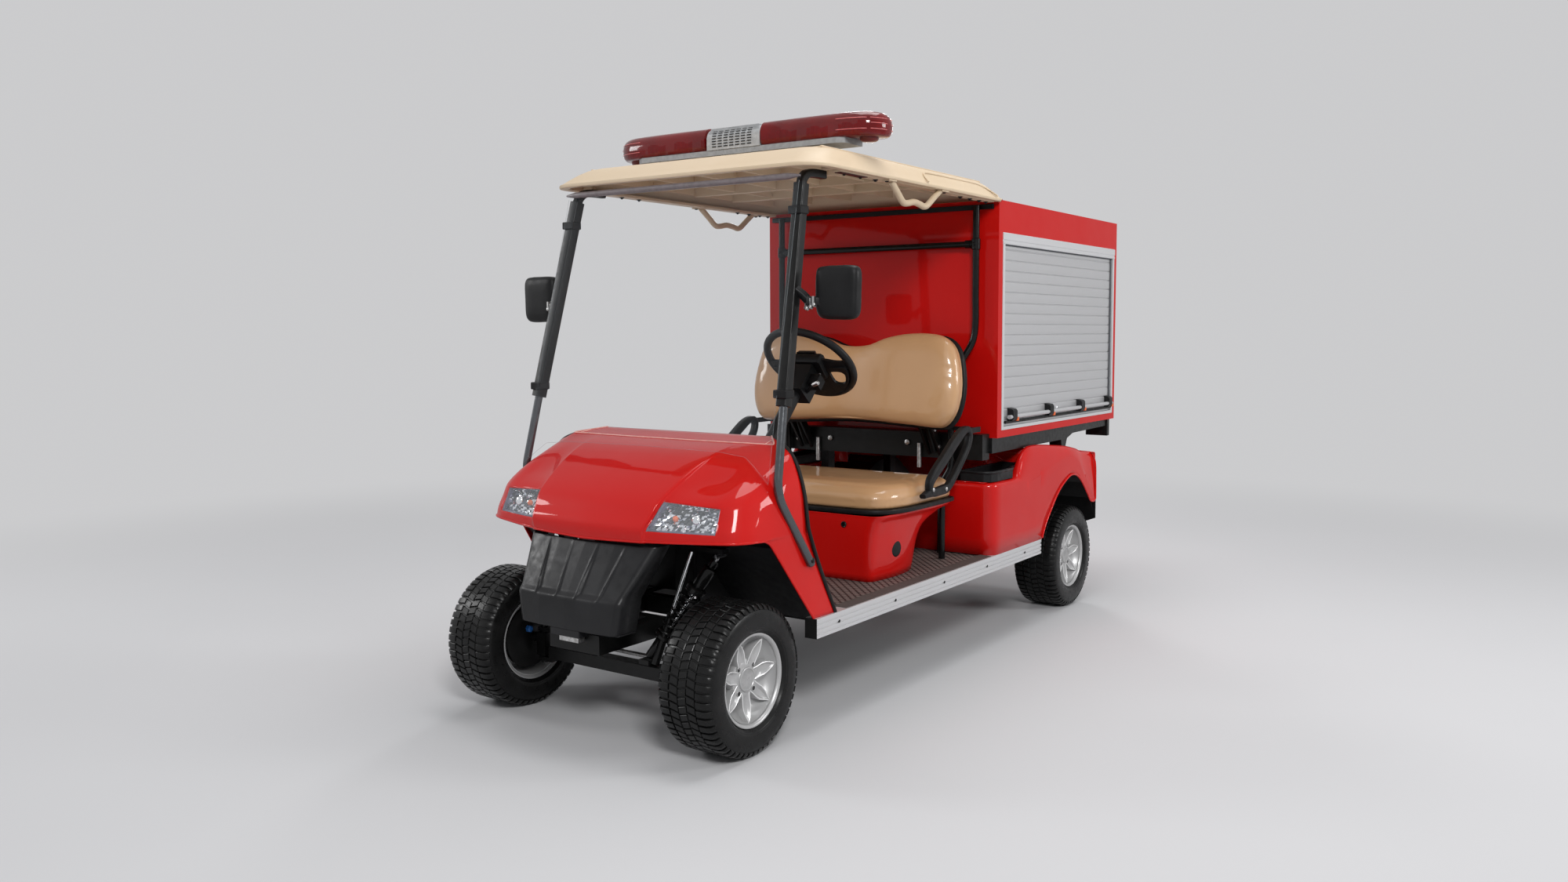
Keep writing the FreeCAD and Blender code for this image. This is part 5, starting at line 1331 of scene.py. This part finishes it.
def mirrors():
    """Rounded mirrors on brackets, with their glass facing the driver."""
    shape = [(-74, 60), (-68, 76), (-50, 82), (0, 83), (52, 82), (70, 76), (77, 58), (76, 0), (74, -54),
        (66, -74), (46, -82), (0, -82), (-48, -79), (-66, -68), (-75, -42), (-76, 10)]
    outline = loop(shape, 4)
    rows = []
    for along, share in ((286, 0.30), (286.5, 0.62), (289, 0.84), (293, 0.93), (300, 0.985), (310, 1.0),
            (320, 0.998), (326, 0.98), (328, 0.95), (326, 0.92), (322, 0.915)):
        rows.append([(MIRROR_X + x * share, along, MIRROR_Z + z * share) for x, z in outline])
    head = Build().grid(spots(rows), True, True)
    square_tube(head, [(588, 305, 1350), (560, 290, 1350), (545, 276, 1352)], 30, 7)
    square_tube(head, [(518, 262, 1388), (536, 272, 1372), (552, 282, 1352)], 24, 6)
    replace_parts(both_sides(head, "mirror_head", BLACK_PLASTIC)[0], "mirrors")
    rows = [[(MIRROR_X + 0.6 + x * share, 322.5, MIRROR_Z + z * share) for x, z in outline]
        for share in (0.91, 0.5)]
    both_sides(Build().grid(spots(rows), True, True), "mirror_glass", MIRROR_GLASS)
    spots_of_bolts = ((548, 276, 1330), (562, 276, 1334), (575, 276, 1340))
    joint = discs(spots_of_bolts, (0, -1, 0.3), [(-8, 6.8), (4, 6.8), (6, 4), (6.2, 1)], 12)
    for x, _, z in spots_of_bolts:
        joint.box(mm(x - 4, 272, z - 2), mm(x + 4, 282, z + 26))
    both_sides(joint, "mirror_joint_bolts", ZINC)


# ---------------------------------------------------------------- springs and running gear
def helix(foot, top, radius, turns, steps=22):
    """Points that wind around the line between two places."""
    foot, top = mm(*foot), mm(*top)
    ahead = (top - foot).normalized()
    across = ahead.orthogonal().normalized()
    points = []
    for step in range(int(turns * steps) + 1):
        turn = 2 * math.pi * step / steps
        out = across * math.cos(turn) + ahead.cross(across) * math.sin(turn)
        points.append(foot.lerp(top, step / (turns * steps)) + out * radius / 1000)
    return points


def springs():
    """Front coil-overs, gas dampers and brakes, and leaf springs with clamps at the back."""
    foot, top = (130, 4, 232), (347, 100, 575)
    coil = Build().tube(helix(between(foot, top, 0.22), between(foot, top, 0.66), 27, 7), 4.8, 10)
    axis = mm(*top) - mm(*foot)
    for low, high, radius in ((0.02, 0.30, 17), (0.2, 0.235, 33), (0.64, 0.68, 33), (0.66, 0.86, 22),
            (0.86, 0.93, 14)):
        length = axis.length * 1000 * (high - low)
        coil.disc(mm(*between(foot, top, low)), axis, [(0, radius * 0.9), (3, radius), (length - 3, radius),
            (length, radius * 0.9)], 20)
    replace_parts(both_sides(coil, "front_coil_over", GLOSS_BLACK)[0], "springs")
    rods = Build().tube([mm(*between(foot, top, share)) for share in (0.3, 0.97)], 6, 12)
    gas_foot, gas_top = (166, -10, 215), (245, 84, 575)
    rods.tube([mm(*between(gas_foot, gas_top, share)) for share in (0.44, 0.99)], 5.5, 12)
    rods.disc(mm(*between(foot, top, 0.975)), (0, -1, 0), [(-30, 8), (18, 8), (19, 11), (26, 11), (27, 2)],
        6)
    both_sides(rods, "front_shock_rods", CHROME)
    gas = Build().tube([mm(*between(gas_foot, gas_top, share)) for share in (0.02, 0.46)], 13.5, 16)
    both_sides(gas, "front_gas_damper", GLOSS_BLACK)
    line = curve([(2010, 252), (2110, 216), (2250, 190), (2402, 180), (2554, 190), (2690, 252)], 6)
    leaves = Build()
    for level, (start, end) in enumerate(((0, 31), (4, 27), (8, 23))):
        rows = []
        for y, z in line[start:end]:
            low = z - 7 * level
            rows.append([(180, y, low - 6), (220, y, low - 6), (220, y, low), (180, y, low)])
        leaves.grid(spots(rows), True, True)
    for y in (2376, 2416):
        leaves.tube([mm(x, y, z) for x, z in ((176, 166), (176, 268), (200, 276), (224, 268), (224, 166))],
            4.5, 10)
    for y in (2010, 2664):
        leaves.box(mm(184, y, 236), mm(216, y + 26, 281))
    leaves.box(mm(181, 2372, 176), mm(219, 2432, 197))
    both_sides(leaves, "rear_leaf_spring", BLACK_STEEL, bevel=1)
    brake = Build().disc(mm(402, 0, 230), (-1, 0, 0), [(0, 106), (4, 106), (10, 85), (12, 60), (20, 50),
        (21, 20)], 40)
    both_sides(brake, "front_brake", BLACK_STEEL, "knuckle_")
    cap = Build().disc(mm(384, -26, 262), (-1, 0, 0), [(0, 12), (14, 12), (18, 8), (18.2, 1)], 6)
    both_sides(cap, "front_brake_cap", BLUE, "knuckle_")


# ---------------------------------------------------------------- rear body
BODY_HALF, CORNER_END, SILL_TOP = 590, 1652, 365
# along, height of the outer crease, height of the ridge
FENDER_STATIONS = [(1592, 645, 657), (1775, 645, 657), (1805, 642, 690), (1850, 640, 740), (1905, 640, 768),
    (1990, 655, 772), (2084, 676, 766), (2322, 705, 742), (2430, 676, 724), (2500, 610, 708),
    (2570, 540, 698), (2645, 480, 690),]
ARCH_LINE = [(1990, 300), (2036, 400), (2122, 490), (2204, 556), (2294, 598), (2350, 610), (2410, 600),
    (2470, 565), (2542, 502), (2592, 461), (2700, 461)]


def side_profile(y, stations, arch):
    """The body's left side at a place along it: from the sill or arch, over the crease, to the deck."""
    crease = float(np.interp(y, stations[:, 0], stations[:, 1]))
    ridge = float(np.interp(y, stations[:, 0], stations[:, 2]))
    low = max(SILL_TOP, float(np.interp(y, arch[:, 0], arch[:, 1])) if y > 2010 else 0)
    low = min(low, crease - 14)
    rise = ridge - crease
    profile = [(BODY_HALF, low + (crease - 12 - low) * share) for share in (0, 0.25, 0.5, 0.75, 1)]
    roll = ((0.6, -0.1), (2.4, 0.12), (5.4, 0.38), (9.5, 0.64), (15, 0.86), (22, 0.97), (30, 1.0))
    profile += [(BODY_HALF - inward, crease + share * rise) for inward, share in roll]
    if y < 1928:
        return profile + [(BODY_HALF - 36, ridge - 1), (BODY_HALF - 40, ridge - 5), (BODY_HALF - 40.1, 652),
            (BODY_HALF - 40, 650)]
    height = float(np.interp(y, [1927, 2090, 2322, 2645], [764, 760, 728, 690]))
    return profile + [(BODY_HALF - 40, ridge - 1), (BODY_HALF - 48, height + 1), (345, height),
        (345, height - 8)]


def rear_body():
    """The red tub behind the seat, its wings, decks and tail, all with rolled edges."""
    stations, arch = curve(FENDER_STATIONS, 6), curve(ARCH_LINE, 6)
    body = Build()
    ys = np.concatenate([np.linspace(CORNER_END, 1775, 6), np.linspace(1785, 1930, 26),
        np.linspace(1940, 2645, 90)])
    wall = [[(x, y, z) for x in np.linspace(345, 551, 5)] for y, z in ((1929, 650), (1928, 740),
        (1929, 752), (1933, 759.5), (1942, 762.5))]
    ledge = [[(x, y, 656) for x in (430, 500, 549)] for y in (1536, 1700, 1928)]
    step = [[(430, y, z) for y in (1536, 1928)] for z in (644, 656)]
    for side in (1, -1):
        body.grid(spots([[(side * x, y, z) for x, z in side_profile(y, stations, arch)] for y in ys]))
        for part in (wall, ledge, step):
            body.grid(spots([[(side * x, y, z) for x, y, z in row] for row in part]))
    outline = curve([(590, CORNER_END), (590, 1622), (590, 1596), (587, 1570), (579, 1553), (566, 1541),
        (548, 1533), (528, 1530), (400, 1530), (200, 1530), (0, 1530)], 4)
    outline = np.vstack([outline, flipped(outline[:-1])])
    rows = []
    for across, height in side_profile(CORNER_END, stations, arch):
        inset = BODY_HALF - across
        rows.append([(x * across / BODY_HALF, y + inset * min(1, (CORNER_END - y) / 72), height)
            for x, y in outline])
    body.grid(spots(rows))
    tail = [[(x, y, z) for x in np.linspace(-586, 586, 9)] for y, z in ((2645, 500), (2645, 676),
        (2643.5, 683), (2638, 688), (2628, 690))]
    body.grid(spots(tail))
    shell = body.make("rear_shell", RED, angle=48)
    thicken(shell, 3)
    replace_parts(shell, "rear_body")
    lip = [(590.5, y, z + 1) for y, z in arch if 2014 < y < 2640]
    both_sides(Build().tube(places(lip), 4.2, 10), "rear_arch_lip", RED)
    edge = curve([(590, 2590, 462), (590, 2644, 466), (590, 2646, 480), (589, 2646, 560), (586, 2645, 640),
        (570, 2645, 682)], 4)
    both_sides(Build().tube(places(edge), 4.2, 8), "rear_corner_lip", RED)


def trays():
    """The rolled edge of each storage tray."""
    points = [(438, 1542), (535, 1542), (556, 1549), (568, 1564), (573, 1600), (573, 1740), (566, 1756),
        (552, 1768), (547, 1780), (547, 1924), (438, 1924)]
    rim = Build().tube([mm(x, y, 694) for x, y in points], 6.2, 12, closed=True)
    both_sides(rim, "tray_rolled_edge", BLACK_PLASTIC)


# ---------------------------------------------------------------- seat base, armrests, back frame
SEAT_BASE_RINGS = [
    (360, [(0, 848), (200, 848), (396, 848), (418, 852), (432, 864), (440, 900), (450, 1000), (440, 1115),
        (405, 1190), (340, 1222), (170, 1222)]),
    (512, [(0, 850), (200, 850), (400, 850), (424, 855), (438, 868), (446, 910), (456, 1000), (456, 1140),
        (430, 1215), (360, 1240), (180, 1240)]),
    (569, [(0, 852), (204, 852), (408, 852), (436, 858), (452, 873), (458, 920), (466, 1010), (470, 1230),
        (450, 1320), (375, 1340), (188, 1340)]),
    (590, [(0, 854), (210, 854), (418, 854), (448, 861), (464, 878), (472, 940), (482, 1030), (488, 1310),
        (476, 1366), (400, 1378), (200, 1378)]),
    (597, [(0, 854), (212, 854), (424, 854), (452, 861), (467, 878), (475, 940), (484, 1030), (490, 1318),
        (479, 1368), (400, 1380), (200, 1380)]),
]


def seat_base():
    """The red seat box, flared at its top, with round covers, a lock and the posts beside it."""
    rings = [loop([(x, y, height) for x, y in half + flipped(half[1:])], 5)
        for height, half in SEAT_BASE_RINGS]
    columns = [curve([ring[place] for ring in rings], 6) for place in range(len(rings[0]))]
    base = Build().grid(spots(zip(*columns)), True).make("seat_box", RED, angle=40)
    thicken(base, 4)
    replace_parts(base, "seat_base")
    cover = Build().disc(mm(450.5, 1000, 463), (1, -0.1, 0), [(-6, 31), (1.5, 31), (3.5, 29), (4.5, 24),
        (3.8, 1)], 36)
    both_sides(cover, "seat_box_round_cover", BLACK_PLASTIC)
    lock = Build().disc(mm(320, 850.5, 561), (0, -1, 0), [(-4, 11.5), (2, 11.5), (3.5, 9.5), (2, 7),
        (2, 1)], 24)
    lock.make("seat_box_lock", GLOSS_BLACK)
    back = Build().tube([mm(430, 1400, z) for z in (362, 420, 500, 590)], 13, 14)
    both_sides(back, "seat_side_post", GLOSS_BLACK)


def seat_trim():
    """The black edging between cushion and seat box, on the lid."""
    outline = loop(seat_outline(-1), 3)
    rows = []
    for grow, height in ((-14, 600), (-4, 599.5), (0.5, 601), (1.2, 605), (1.2, 611), (0.2, 615),
            (-4, 616.5), (-12, 616)):
        rows.append([(x, y, height) for x, y in about_seat(outline, grow)])
    pan = Build().grid(spots(rows), True, True).make("seat_pan_trim", BLACK_PLASTIC, "seat_lid", angle=50)
    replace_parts(pan, "seat_pan")


def flat_sweep(build, path, widths, low, high, closed):
    """A flat moulded bar: a path of (along, height), half widths, and its extent across the cart."""
    path = np.array(path)
    count, soft = len(path), 6
    rows = []
    for index, (y, z) in enumerate(path):
        before = path[index - 1] if index or closed else path[index]
        after = path[(index + 1) % count] if index + 1 < count or closed else path[index]
        ahead = (after - before) / np.linalg.norm(after - before)
        half = widths[index]
        section = [(-half, low + soft), (-half, high - soft), (-half + 1.8, high - 1.8),
            (-half + soft, high), (half - soft, high), (half - 1.8, high - 1.8), (half, high - soft),
            (half, low + soft), (half - 1.8, low + 1.8), (half - soft, low), (-half + soft, low),
            (-half + 1.8, low + 1.8)]
        rows.append([(x, y + ahead[1] * across, z - ahead[0] * across) for across, x in section])
    if closed:
        rows.append(rows[0])
    return build.grid(spots(rows), True, not closed)


def armrests():
    """A flat black moulded loop beside each side of the seat, on a bar from the rear post."""
    path = loop([(1138, 660), (1122, 676), (1132, 706), (1236, 776), (1352, 852), (1400, 874), (1432, 874),
        (1446, 850), (1428, 808), (1345, 728), (1262, 664), (1200, 656)], 5)
    widths = [19 if 1130 < y < 1390 and z > 640 + (y - 1110) * 0.62 else 13 for y, z in path]
    widths = np.convolve(np.concatenate([widths[-3:], widths, widths[:3]]), np.ones(7) / 7, mode="valid")
    arm = flat_sweep(Build(), path, widths, 508, 536, True)
    flat_sweep(arm, [(1250, 664), (1180, 658), (1120, 660), (1072, 652)], [16, 16, 15, 8], 509, 535, False)
    arm.box(mm(412, 1524, 860), mm(526, 1539, 876))
    arm.box(mm(516, 1438, 858), mm(527, 1539, 879))
    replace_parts(both_sides(arm, "armrest", BLACK_PLASTIC, angle=50)[0], "armrests")
    bolts = discs([(536.5, 1232, 664), (536.5, 1130, 672)], (1, 0, 0),
        [(-2, 8), (2, 7.8), (4, 5), (4.2, 1)], 16)
    both_sides(bolts, "armrest_bolts", ZINC)


def back_frame():
    """The seat back's moulded shell, its carrying arms, and the tubes that stand behind it."""
    rows = [back_loop(shrink, depth) for shrink, depth in ((14, 88), (5, 93), (4, 98), (8, 104), (22, 107),
        (60, 108))]
    shell = Build().grid(spots(rows), True, True).make("seat_back_shell", BLACK_PLASTIC, angle=50)
    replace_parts(shell, "seat_back_frame")
    post = curve([(365, 1512, 361), (372, 1514, 640), (400, 1530, 720), (400, 1530, 1060),
        (438, 1560, 1150), (466, 1584, 1215), (475, 1590, 1280), (475, 1590, 1400), (475, 1590, 1756)], 6)
    both_sides(Build().tube(places(post), 13.5, 18), "rear_post", GLOSS_BLACK)
    cross = Build().tube([mm(x, 1590, 1605) for x in (-475, 0, 475)], 12.7, 18)
    arms, bolts = Build(), Build()
    for side in (1, -1):
        cross.tube([mm(side * 475, 1590, z) for z in (1582, 1585, 1625, 1628)], [15, 17.8, 17.8, 15], 18)
        cross.tube([mm(side * x, 1590, 1605) for x in (452, 430, 426)], [16.5, 16.5, 13], 18)
        cross.disc(mm(side * 475, 1572, 1605), (0, -1, 0), [(-4, 6), (3, 6), (4.5, 3), (5, 0.5)], 12)
        for inner in (285, 335):
            arms.grid([[mm(side * x, y, z) for y, z in ((1551, 752), (1551, 800), (1482, 905), (1464, 905),
                (1455, 880))] for x in (inner, inner + 12)], True, True)
        arms.tube([mm(side * x, y, z) for x, y, z in ((400, 1528, 1000), (330, 1482, 1000))], 9, 12)
        arms.tube([mm(side * 316, y, z) for y, z in ((1545, 770), (1475, 893))], 12, 14)
        for y, z in ((1530, 790), (1490, 862)):
            bolts.disc(mm(side * 348, y, z), (side, 0, 0), [(-1, 8), (3, 8), (5, 5), (5.2, 1)], 12)
        bolts.tube([mm(side * 250, 1540, z) for z in (700, 742, 800)], 9, 14)
        bolts.disc(mm(side * 190, 1548, 800), (0, -1, 0), [(0, 11), (6, 11), (8, 6), (8.2, 1)], 16)
    cross.make("post_cross_tube", GLOSS_BLACK)
    arms.make("seat_back_arms", BLACK_STEEL, bevel=1.5)
    bolts.make("seat_back_bolts", ZINC)


# ---------------------------------------------------------------- lower front, sills, dashboard
# height, half outline
APRON = [
    (357, [(0, -233), (110, -231), (182, -225), (196, -219), (200, -206), (200, -130)]),
    (380, [(0, -233), (110, -231), (187, -225), (201, -219), (206, -205), (204, -127)]),
    (446, [(0, -231.5), (110, -229.5), (199, -221.5), (212, -216), (216, -200), (214, -120)]),
    (456, [(0, -229), (110, -227), (199, -219), (212, -213), (216, -198), (214, -119)]),
    (463, [(0, -221), (110, -219), (200, -213), (213, -205), (217, -193), (214, -114)]),
    (470, [(0, -214), (110, -212), (202, -207), (214, -200), (218, -188), (215, -110)]),
    (540, [(0, -176), (115, -173), (224, -161), (238, -152), (243, -142), (239, -75)]),
    (616, [(0, -132), (120, -128), (250, -112), (263, -103), (268, -90), (264, -40)]),
]


def apron():
    """The grey-black lower panel with four soft ribs that run down to a stepped bumper."""
    rows = []
    for height, half in APRON:
        xs = np.linspace(0, half[2][0], 70)
        rows.append((height, list(zip(xs, np.interp(xs, *zip(*half[:3])))) + half[3:]))
    dense = []
    for (low, first), (high, second) in zip(rows, rows[1:]):
        count = max(2, int((high - low) / 4))
        for share in (step / count for step in range(count)):
            row = [between(a, b, share) for a, b in zip(first, second)]
            dense.append((low + (high - low) * share, row))
    dense.append(rows[-1])
    ribbed = []
    for height, row in dense:
        share = (height - 470) / 146
        level = []
        for x, y in row:
            rise = sum(7.0 * math.exp(-((x - low - (top - low) * share) / 4.5) ** 2)
                for low, top in ((42, 54), (132, 162)))
            inner = 1 / (1 + math.exp((abs(x - (87 + 21 * share)) - (45 + 9 * share)) / 2.2))
            if height > 452:
                fade = min(1.0, (height - 452) / 14)
                y -= (rise * min(1, (620 - height) / 120)
                    - 5.0 * inner * min(1, (616 - height) / 60)) * fade
            level.append((x, y, height))
        ribbed.append(flipped(level[1:]) + level)
    shell = Build().grid(spots(ribbed)).make("apron_shell", GREY_PLASTIC, angle=60)
    thicken(shell, 4)
    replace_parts(shell, "front_apron")
    under = Build().box(mm(-60, -231, 334), mm(60, -120, 358))
    under.box(mm(-200, -206, 352), mm(200, -130, 358))
    under.make("apron_underside", GREY_PLASTIC, bevel=3)
    bracket = Build().box(mm(-28, -226, 318), mm(52, -196, 334))
    bracket.make("apron_bracket", ZINC, bevel=2)


def sills():
    """Screws along each step, its black end caps and the strip that holds the mat."""
    screws = discs([(589.5, y, 334) for y in (400, 760, 1120, 1480, 1840)], (1, 0, 0),
        [(-1, 5.5), (1.2, 5), (2, 3), (1.5, 0.5)], 14)
    both_sides(screws, "sill_screws", GLOSS_BLACK)
    caps = Build()
    for y in (267, 2010):
        caps.box(mm(546, y, 302), mm(590.3, y + 3, 366))
    both_sides(caps, "sill_end_caps", TRIM_RUBBER, bevel=1)
    strip = Build().box(mm(533, 452, 361), mm(584, 1528, 367.2))
    both_sides(strip, "mat_edge", MAT_EDGE, bevel=1.5)


def tail_lamps():
    """A black housing under each rear corner of the box, with its red lens facing back."""
    low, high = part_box("tail_lamps")
    inner, lens_depth = 0.440, 0.007
    housing = Build().box(Vector((inner, low.y, low.z)), Vector((high.x, high.y - lens_depth, high.z)))
    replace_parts(both_sides(housing, "tail_lamp_housing", BLACK_PLASTIC, bevel=3)[0], "tail_lamps")
    lens = Build().box(Vector((inner + lens_depth, high.y - 0.012, low.z + lens_depth)),
        Vector((high.x - lens_depth, high.y, high.z - lens_depth)))
    both_sides(lens, "tail_lamp_lens", TAIL_RED, bevel=3)


def trimmed(node, finish, rounding, planes):
    """A CAD node's mesh, black below, its ends cut back along planes through three left-side points."""
    mesh = bmesh.new()
    mesh.from_mesh(NODES[node].data)
    mesh.transform(NODES[node].matrix_world)
    bmesh.ops.remove_doubles(mesh, verts=mesh.verts[:], dist=1e-6)
    for side in (1, -1):
        for plane in planes:
            start, second, third = (mm(side * x, y, z) for x, y, z in plane)
            normal = (second - start).cross(third - start).normalized()
            if normal.x * side < 0:
                normal = -normal
            cut = bmesh.ops.bisect_plane(mesh, geom=mesh.verts[:] + mesh.edges[:] + mesh.faces[:],
                plane_co=start, plane_no=normal, clear_outer=True, dist=1e-6)
            rim_edges = [part for part in cut["geom_cut"] if isinstance(part, bmesh.types.BMEdge)]
            bmesh.ops.edgeloop_fill(mesh, edges=rim_edges)
    data = bpy.data.meshes.new(node + "_trimmed")
    mesh.to_mesh(data)
    mesh.free()
    thing = added(node + "_trimmed", data)
    data.materials.append(finish)
    data.materials.append(BLACK_PLASTIC)
    for face in data.polygons:
        face.material_index = 1 if face.normal.z < 0 else 0
    smooth_facets(thing, 40)
    if rounding:
        round_edges(thing, rounding)
    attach(thing, "chassis")
    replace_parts(thing, node)


def cockpit():
    """Dashboard and mat set in from the legs, ignition lock, lever tip, pedal treads and gauges."""
    trimmed("dashboard", BLACK_PLASTIC, 8, [((560, 262, 640), (541, 258, 800), (455, 372, 790)),
        ((516, 262, 850), (436, 300, 903), (383, 372, 893))])
    trimmed("floor_mat", MAT, 0, [((496, 352, 600), (531, 448, 365), (496, 372, 608.2))])
    key = Build()
    barrel = on_wheel(62, -2, -64)
    key.disc(barrel, COLUMN, [(-10, 12.5), (2, 12.5), (4, 11), (4, 1)], 20)
    key.disc(barrel + COLUMN * 0.004, COLUMN, [(0, 4), (12, 4), (13, 1)], 10)
    key.disc(on_wheel(92, 30, -120), (0.75, 0, 0.3), [(-12, 7), (10, 8.5), (14, 5), (14.5, 1)], 14)
    key.make("ignition_lock", ZINC)
    tread = Build()
    for x in (190, 330):
        for share in ((step + 0.5) / 6 for step in range(6)):
            y, z = 468 - 20 * share, 404 + 97 * share
            tread.tube([mm(x + 6, y + 3, z), mm(x + 74, y + 3, z)], 3, 8)
    tread.make("pedal_treads", TRIM_RUBBER)
    gauge = Build()
    for x, radius, sides in ((150, 34, 32), (392, 24, 28)):
        gauge.disc(mm(x, 368, 858), (0, 1, 0.1), [(-10, radius), (6, radius), (8, radius - 3),
            (4, radius - 5), (4, 1)], sides)
    gauge.make("dashboard_gauges", GLOSS_BLACK)


# ---------------------------------------------------------------- studio
BACKGROUND = (0.60, 0.60, 0.61)


def studio():
    """A pale floor that keeps the cart's shadow and fades into the background, with soft lamps."""
    world = bpy.data.worlds.new("studio")
    bpy.context.scene.world = world
    world.use_nodes = True
    tree = world.node_tree
    background = tree.nodes["Background"]
    background.inputs["Color"].default_value = (0.74, 0.75, 0.78, 1)
    background.inputs["Strength"].default_value = 0.36
    seen = tree.nodes.new("ShaderNodeBackground")
    seen.inputs["Color"].default_value = (*BACKGROUND, 1)
    mix = tree.nodes.new("ShaderNodeMixShader")
    for start, end in ((direct_rays(tree), mix.inputs["Fac"]), (background.outputs[0], mix.inputs[1]),
            (seen.outputs[0], mix.inputs[2]),
            (mix.outputs[0], tree.nodes["World Output"].inputs["Surface"])):
        tree.links.new(start, end)

    reach = 60.0
    floor = bpy.data.meshes.new("studio_floor")
    floor.from_pydata([(-reach, -reach, 0), (reach, -reach, 0), (reach, reach, 0), (-reach, reach, 0)], [],
        [(0, 1, 2, 3)])
    ground = added("studio_floor", floor)
    finish = Finish("studio_floor", (0.60, 0.60, 0.61), 0.8, specular=0.1)
    finish.colours(finish.noise(0.6, 2), (0.595, 0.595, 0.605), (0.605, 0.605, 0.615))
    away = finish.add("ShaderNodeVectorMath", operation="LENGTH")
    finish.link(finish.place, away.inputs[0])
    fade = finish.ramp(away.outputs["Value"], 2.4, 6.5, 0.0, 1.0, interpolation_type="SMOOTHSTEP")
    glow = finish.add("ShaderNodeEmission")
    glow.inputs["Color"].default_value = (*BACKGROUND, 1)
    blend = finish.add("ShaderNodeMixShader")
    finish.link(finish.math("MULTIPLY", fade, direct_rays(finish.tree)), blend.inputs["Fac"])
    finish.link(finish.shader.outputs["BSDF"], blend.inputs[1])
    finish.link(glow.outputs["Emission"], blend.inputs[2])
    finish.link(blend.outputs["Shader"], finish.tree.nodes["Material Output"].inputs["Surface"])
    floor.materials.append(finish.material)

    lamp("key", (4.6, -5.2, 4.6), (0, -0.2, 0.8), 1.5, 260)
    lamp("side", (6.0, 2.2, 3.0), (0, 0.4, 0.9), 1.6, 110)
    lamp("fill", (-5.5, -3.5, 3.2), (0, -0.3, 0.9), 1.6, 90)
    lamp("top", (0.5, 0.5, 6.0), (0, 0, 1.0), 3.2, 170)
    lamp("back", (-3.5, 6.0, 3.6), (0, 0.6, 1.0), 1.6, 110)


def direct_rays(tree):
    """One for rays from the camera and for mirrored and transmitted rays, else zero."""
    path = tree.nodes.new("ShaderNodeLightPath")
    value = path.outputs["Is Camera Ray"]
    for other in ("Is Glossy Ray", "Is Transmission Ray"):
        either = tree.nodes.new("ShaderNodeMath")
        either.operation = "MAXIMUM"
        tree.links.new(value, either.inputs[0])
        tree.links.new(path.outputs[other], either.inputs[1])
        value = either.outputs[0]
    return value


def lamp(name, place, target, width, power):
    """A square area lamp that faces a target."""
    data = bpy.data.lights.new(name, "AREA")
    data.size, data.energy = width, power
    thing = added(name, data)
    thing.location = place
    thing.rotation_euler = (Vector(target) - Vector(place)).to_track_quat("-Z", "Y").to_euler()


def camera():
    """The viewpoint in front of the cart's left corner, at head height."""
    heading, dip, roll = 0.601, 0.074, -0.002
    data = bpy.data.cameras.new("camera")
    data.lens = 27.53
    data.sensor_width = 36
    data.shift_x, data.shift_y = -0.0111, -0.0133
    data.clip_end = 100
    thing = added("camera", data)
    thing.location = mm(2627.5, -2785.2, 1258.9)
    ahead = Vector((-math.sin(heading) * math.cos(dip), math.cos(heading) * math.cos(dip), -math.sin(dip)))
    turn = ahead.to_track_quat("-Z", "Y").to_matrix().to_4x4() @ Matrix.Rotation(roll, 4, "Z")
    thing.rotation_euler = turn.to_euler()
    bpy.context.scene.camera = thing


bpy.context.scene.view_settings.view_transform = "Standard"
dress_cad()
cowl()
wheel_sets()
cushion()
backrest()
steering()
light_bar()
box_dress()
roof()
handles()
struts()
windshield()
mirrors()
springs()
rear_body()
trays()
seat_base()
seat_trim()
armrests()
back_frame()
apron()
sills()
cockpit()
tail_lamps()
studio()
camera()
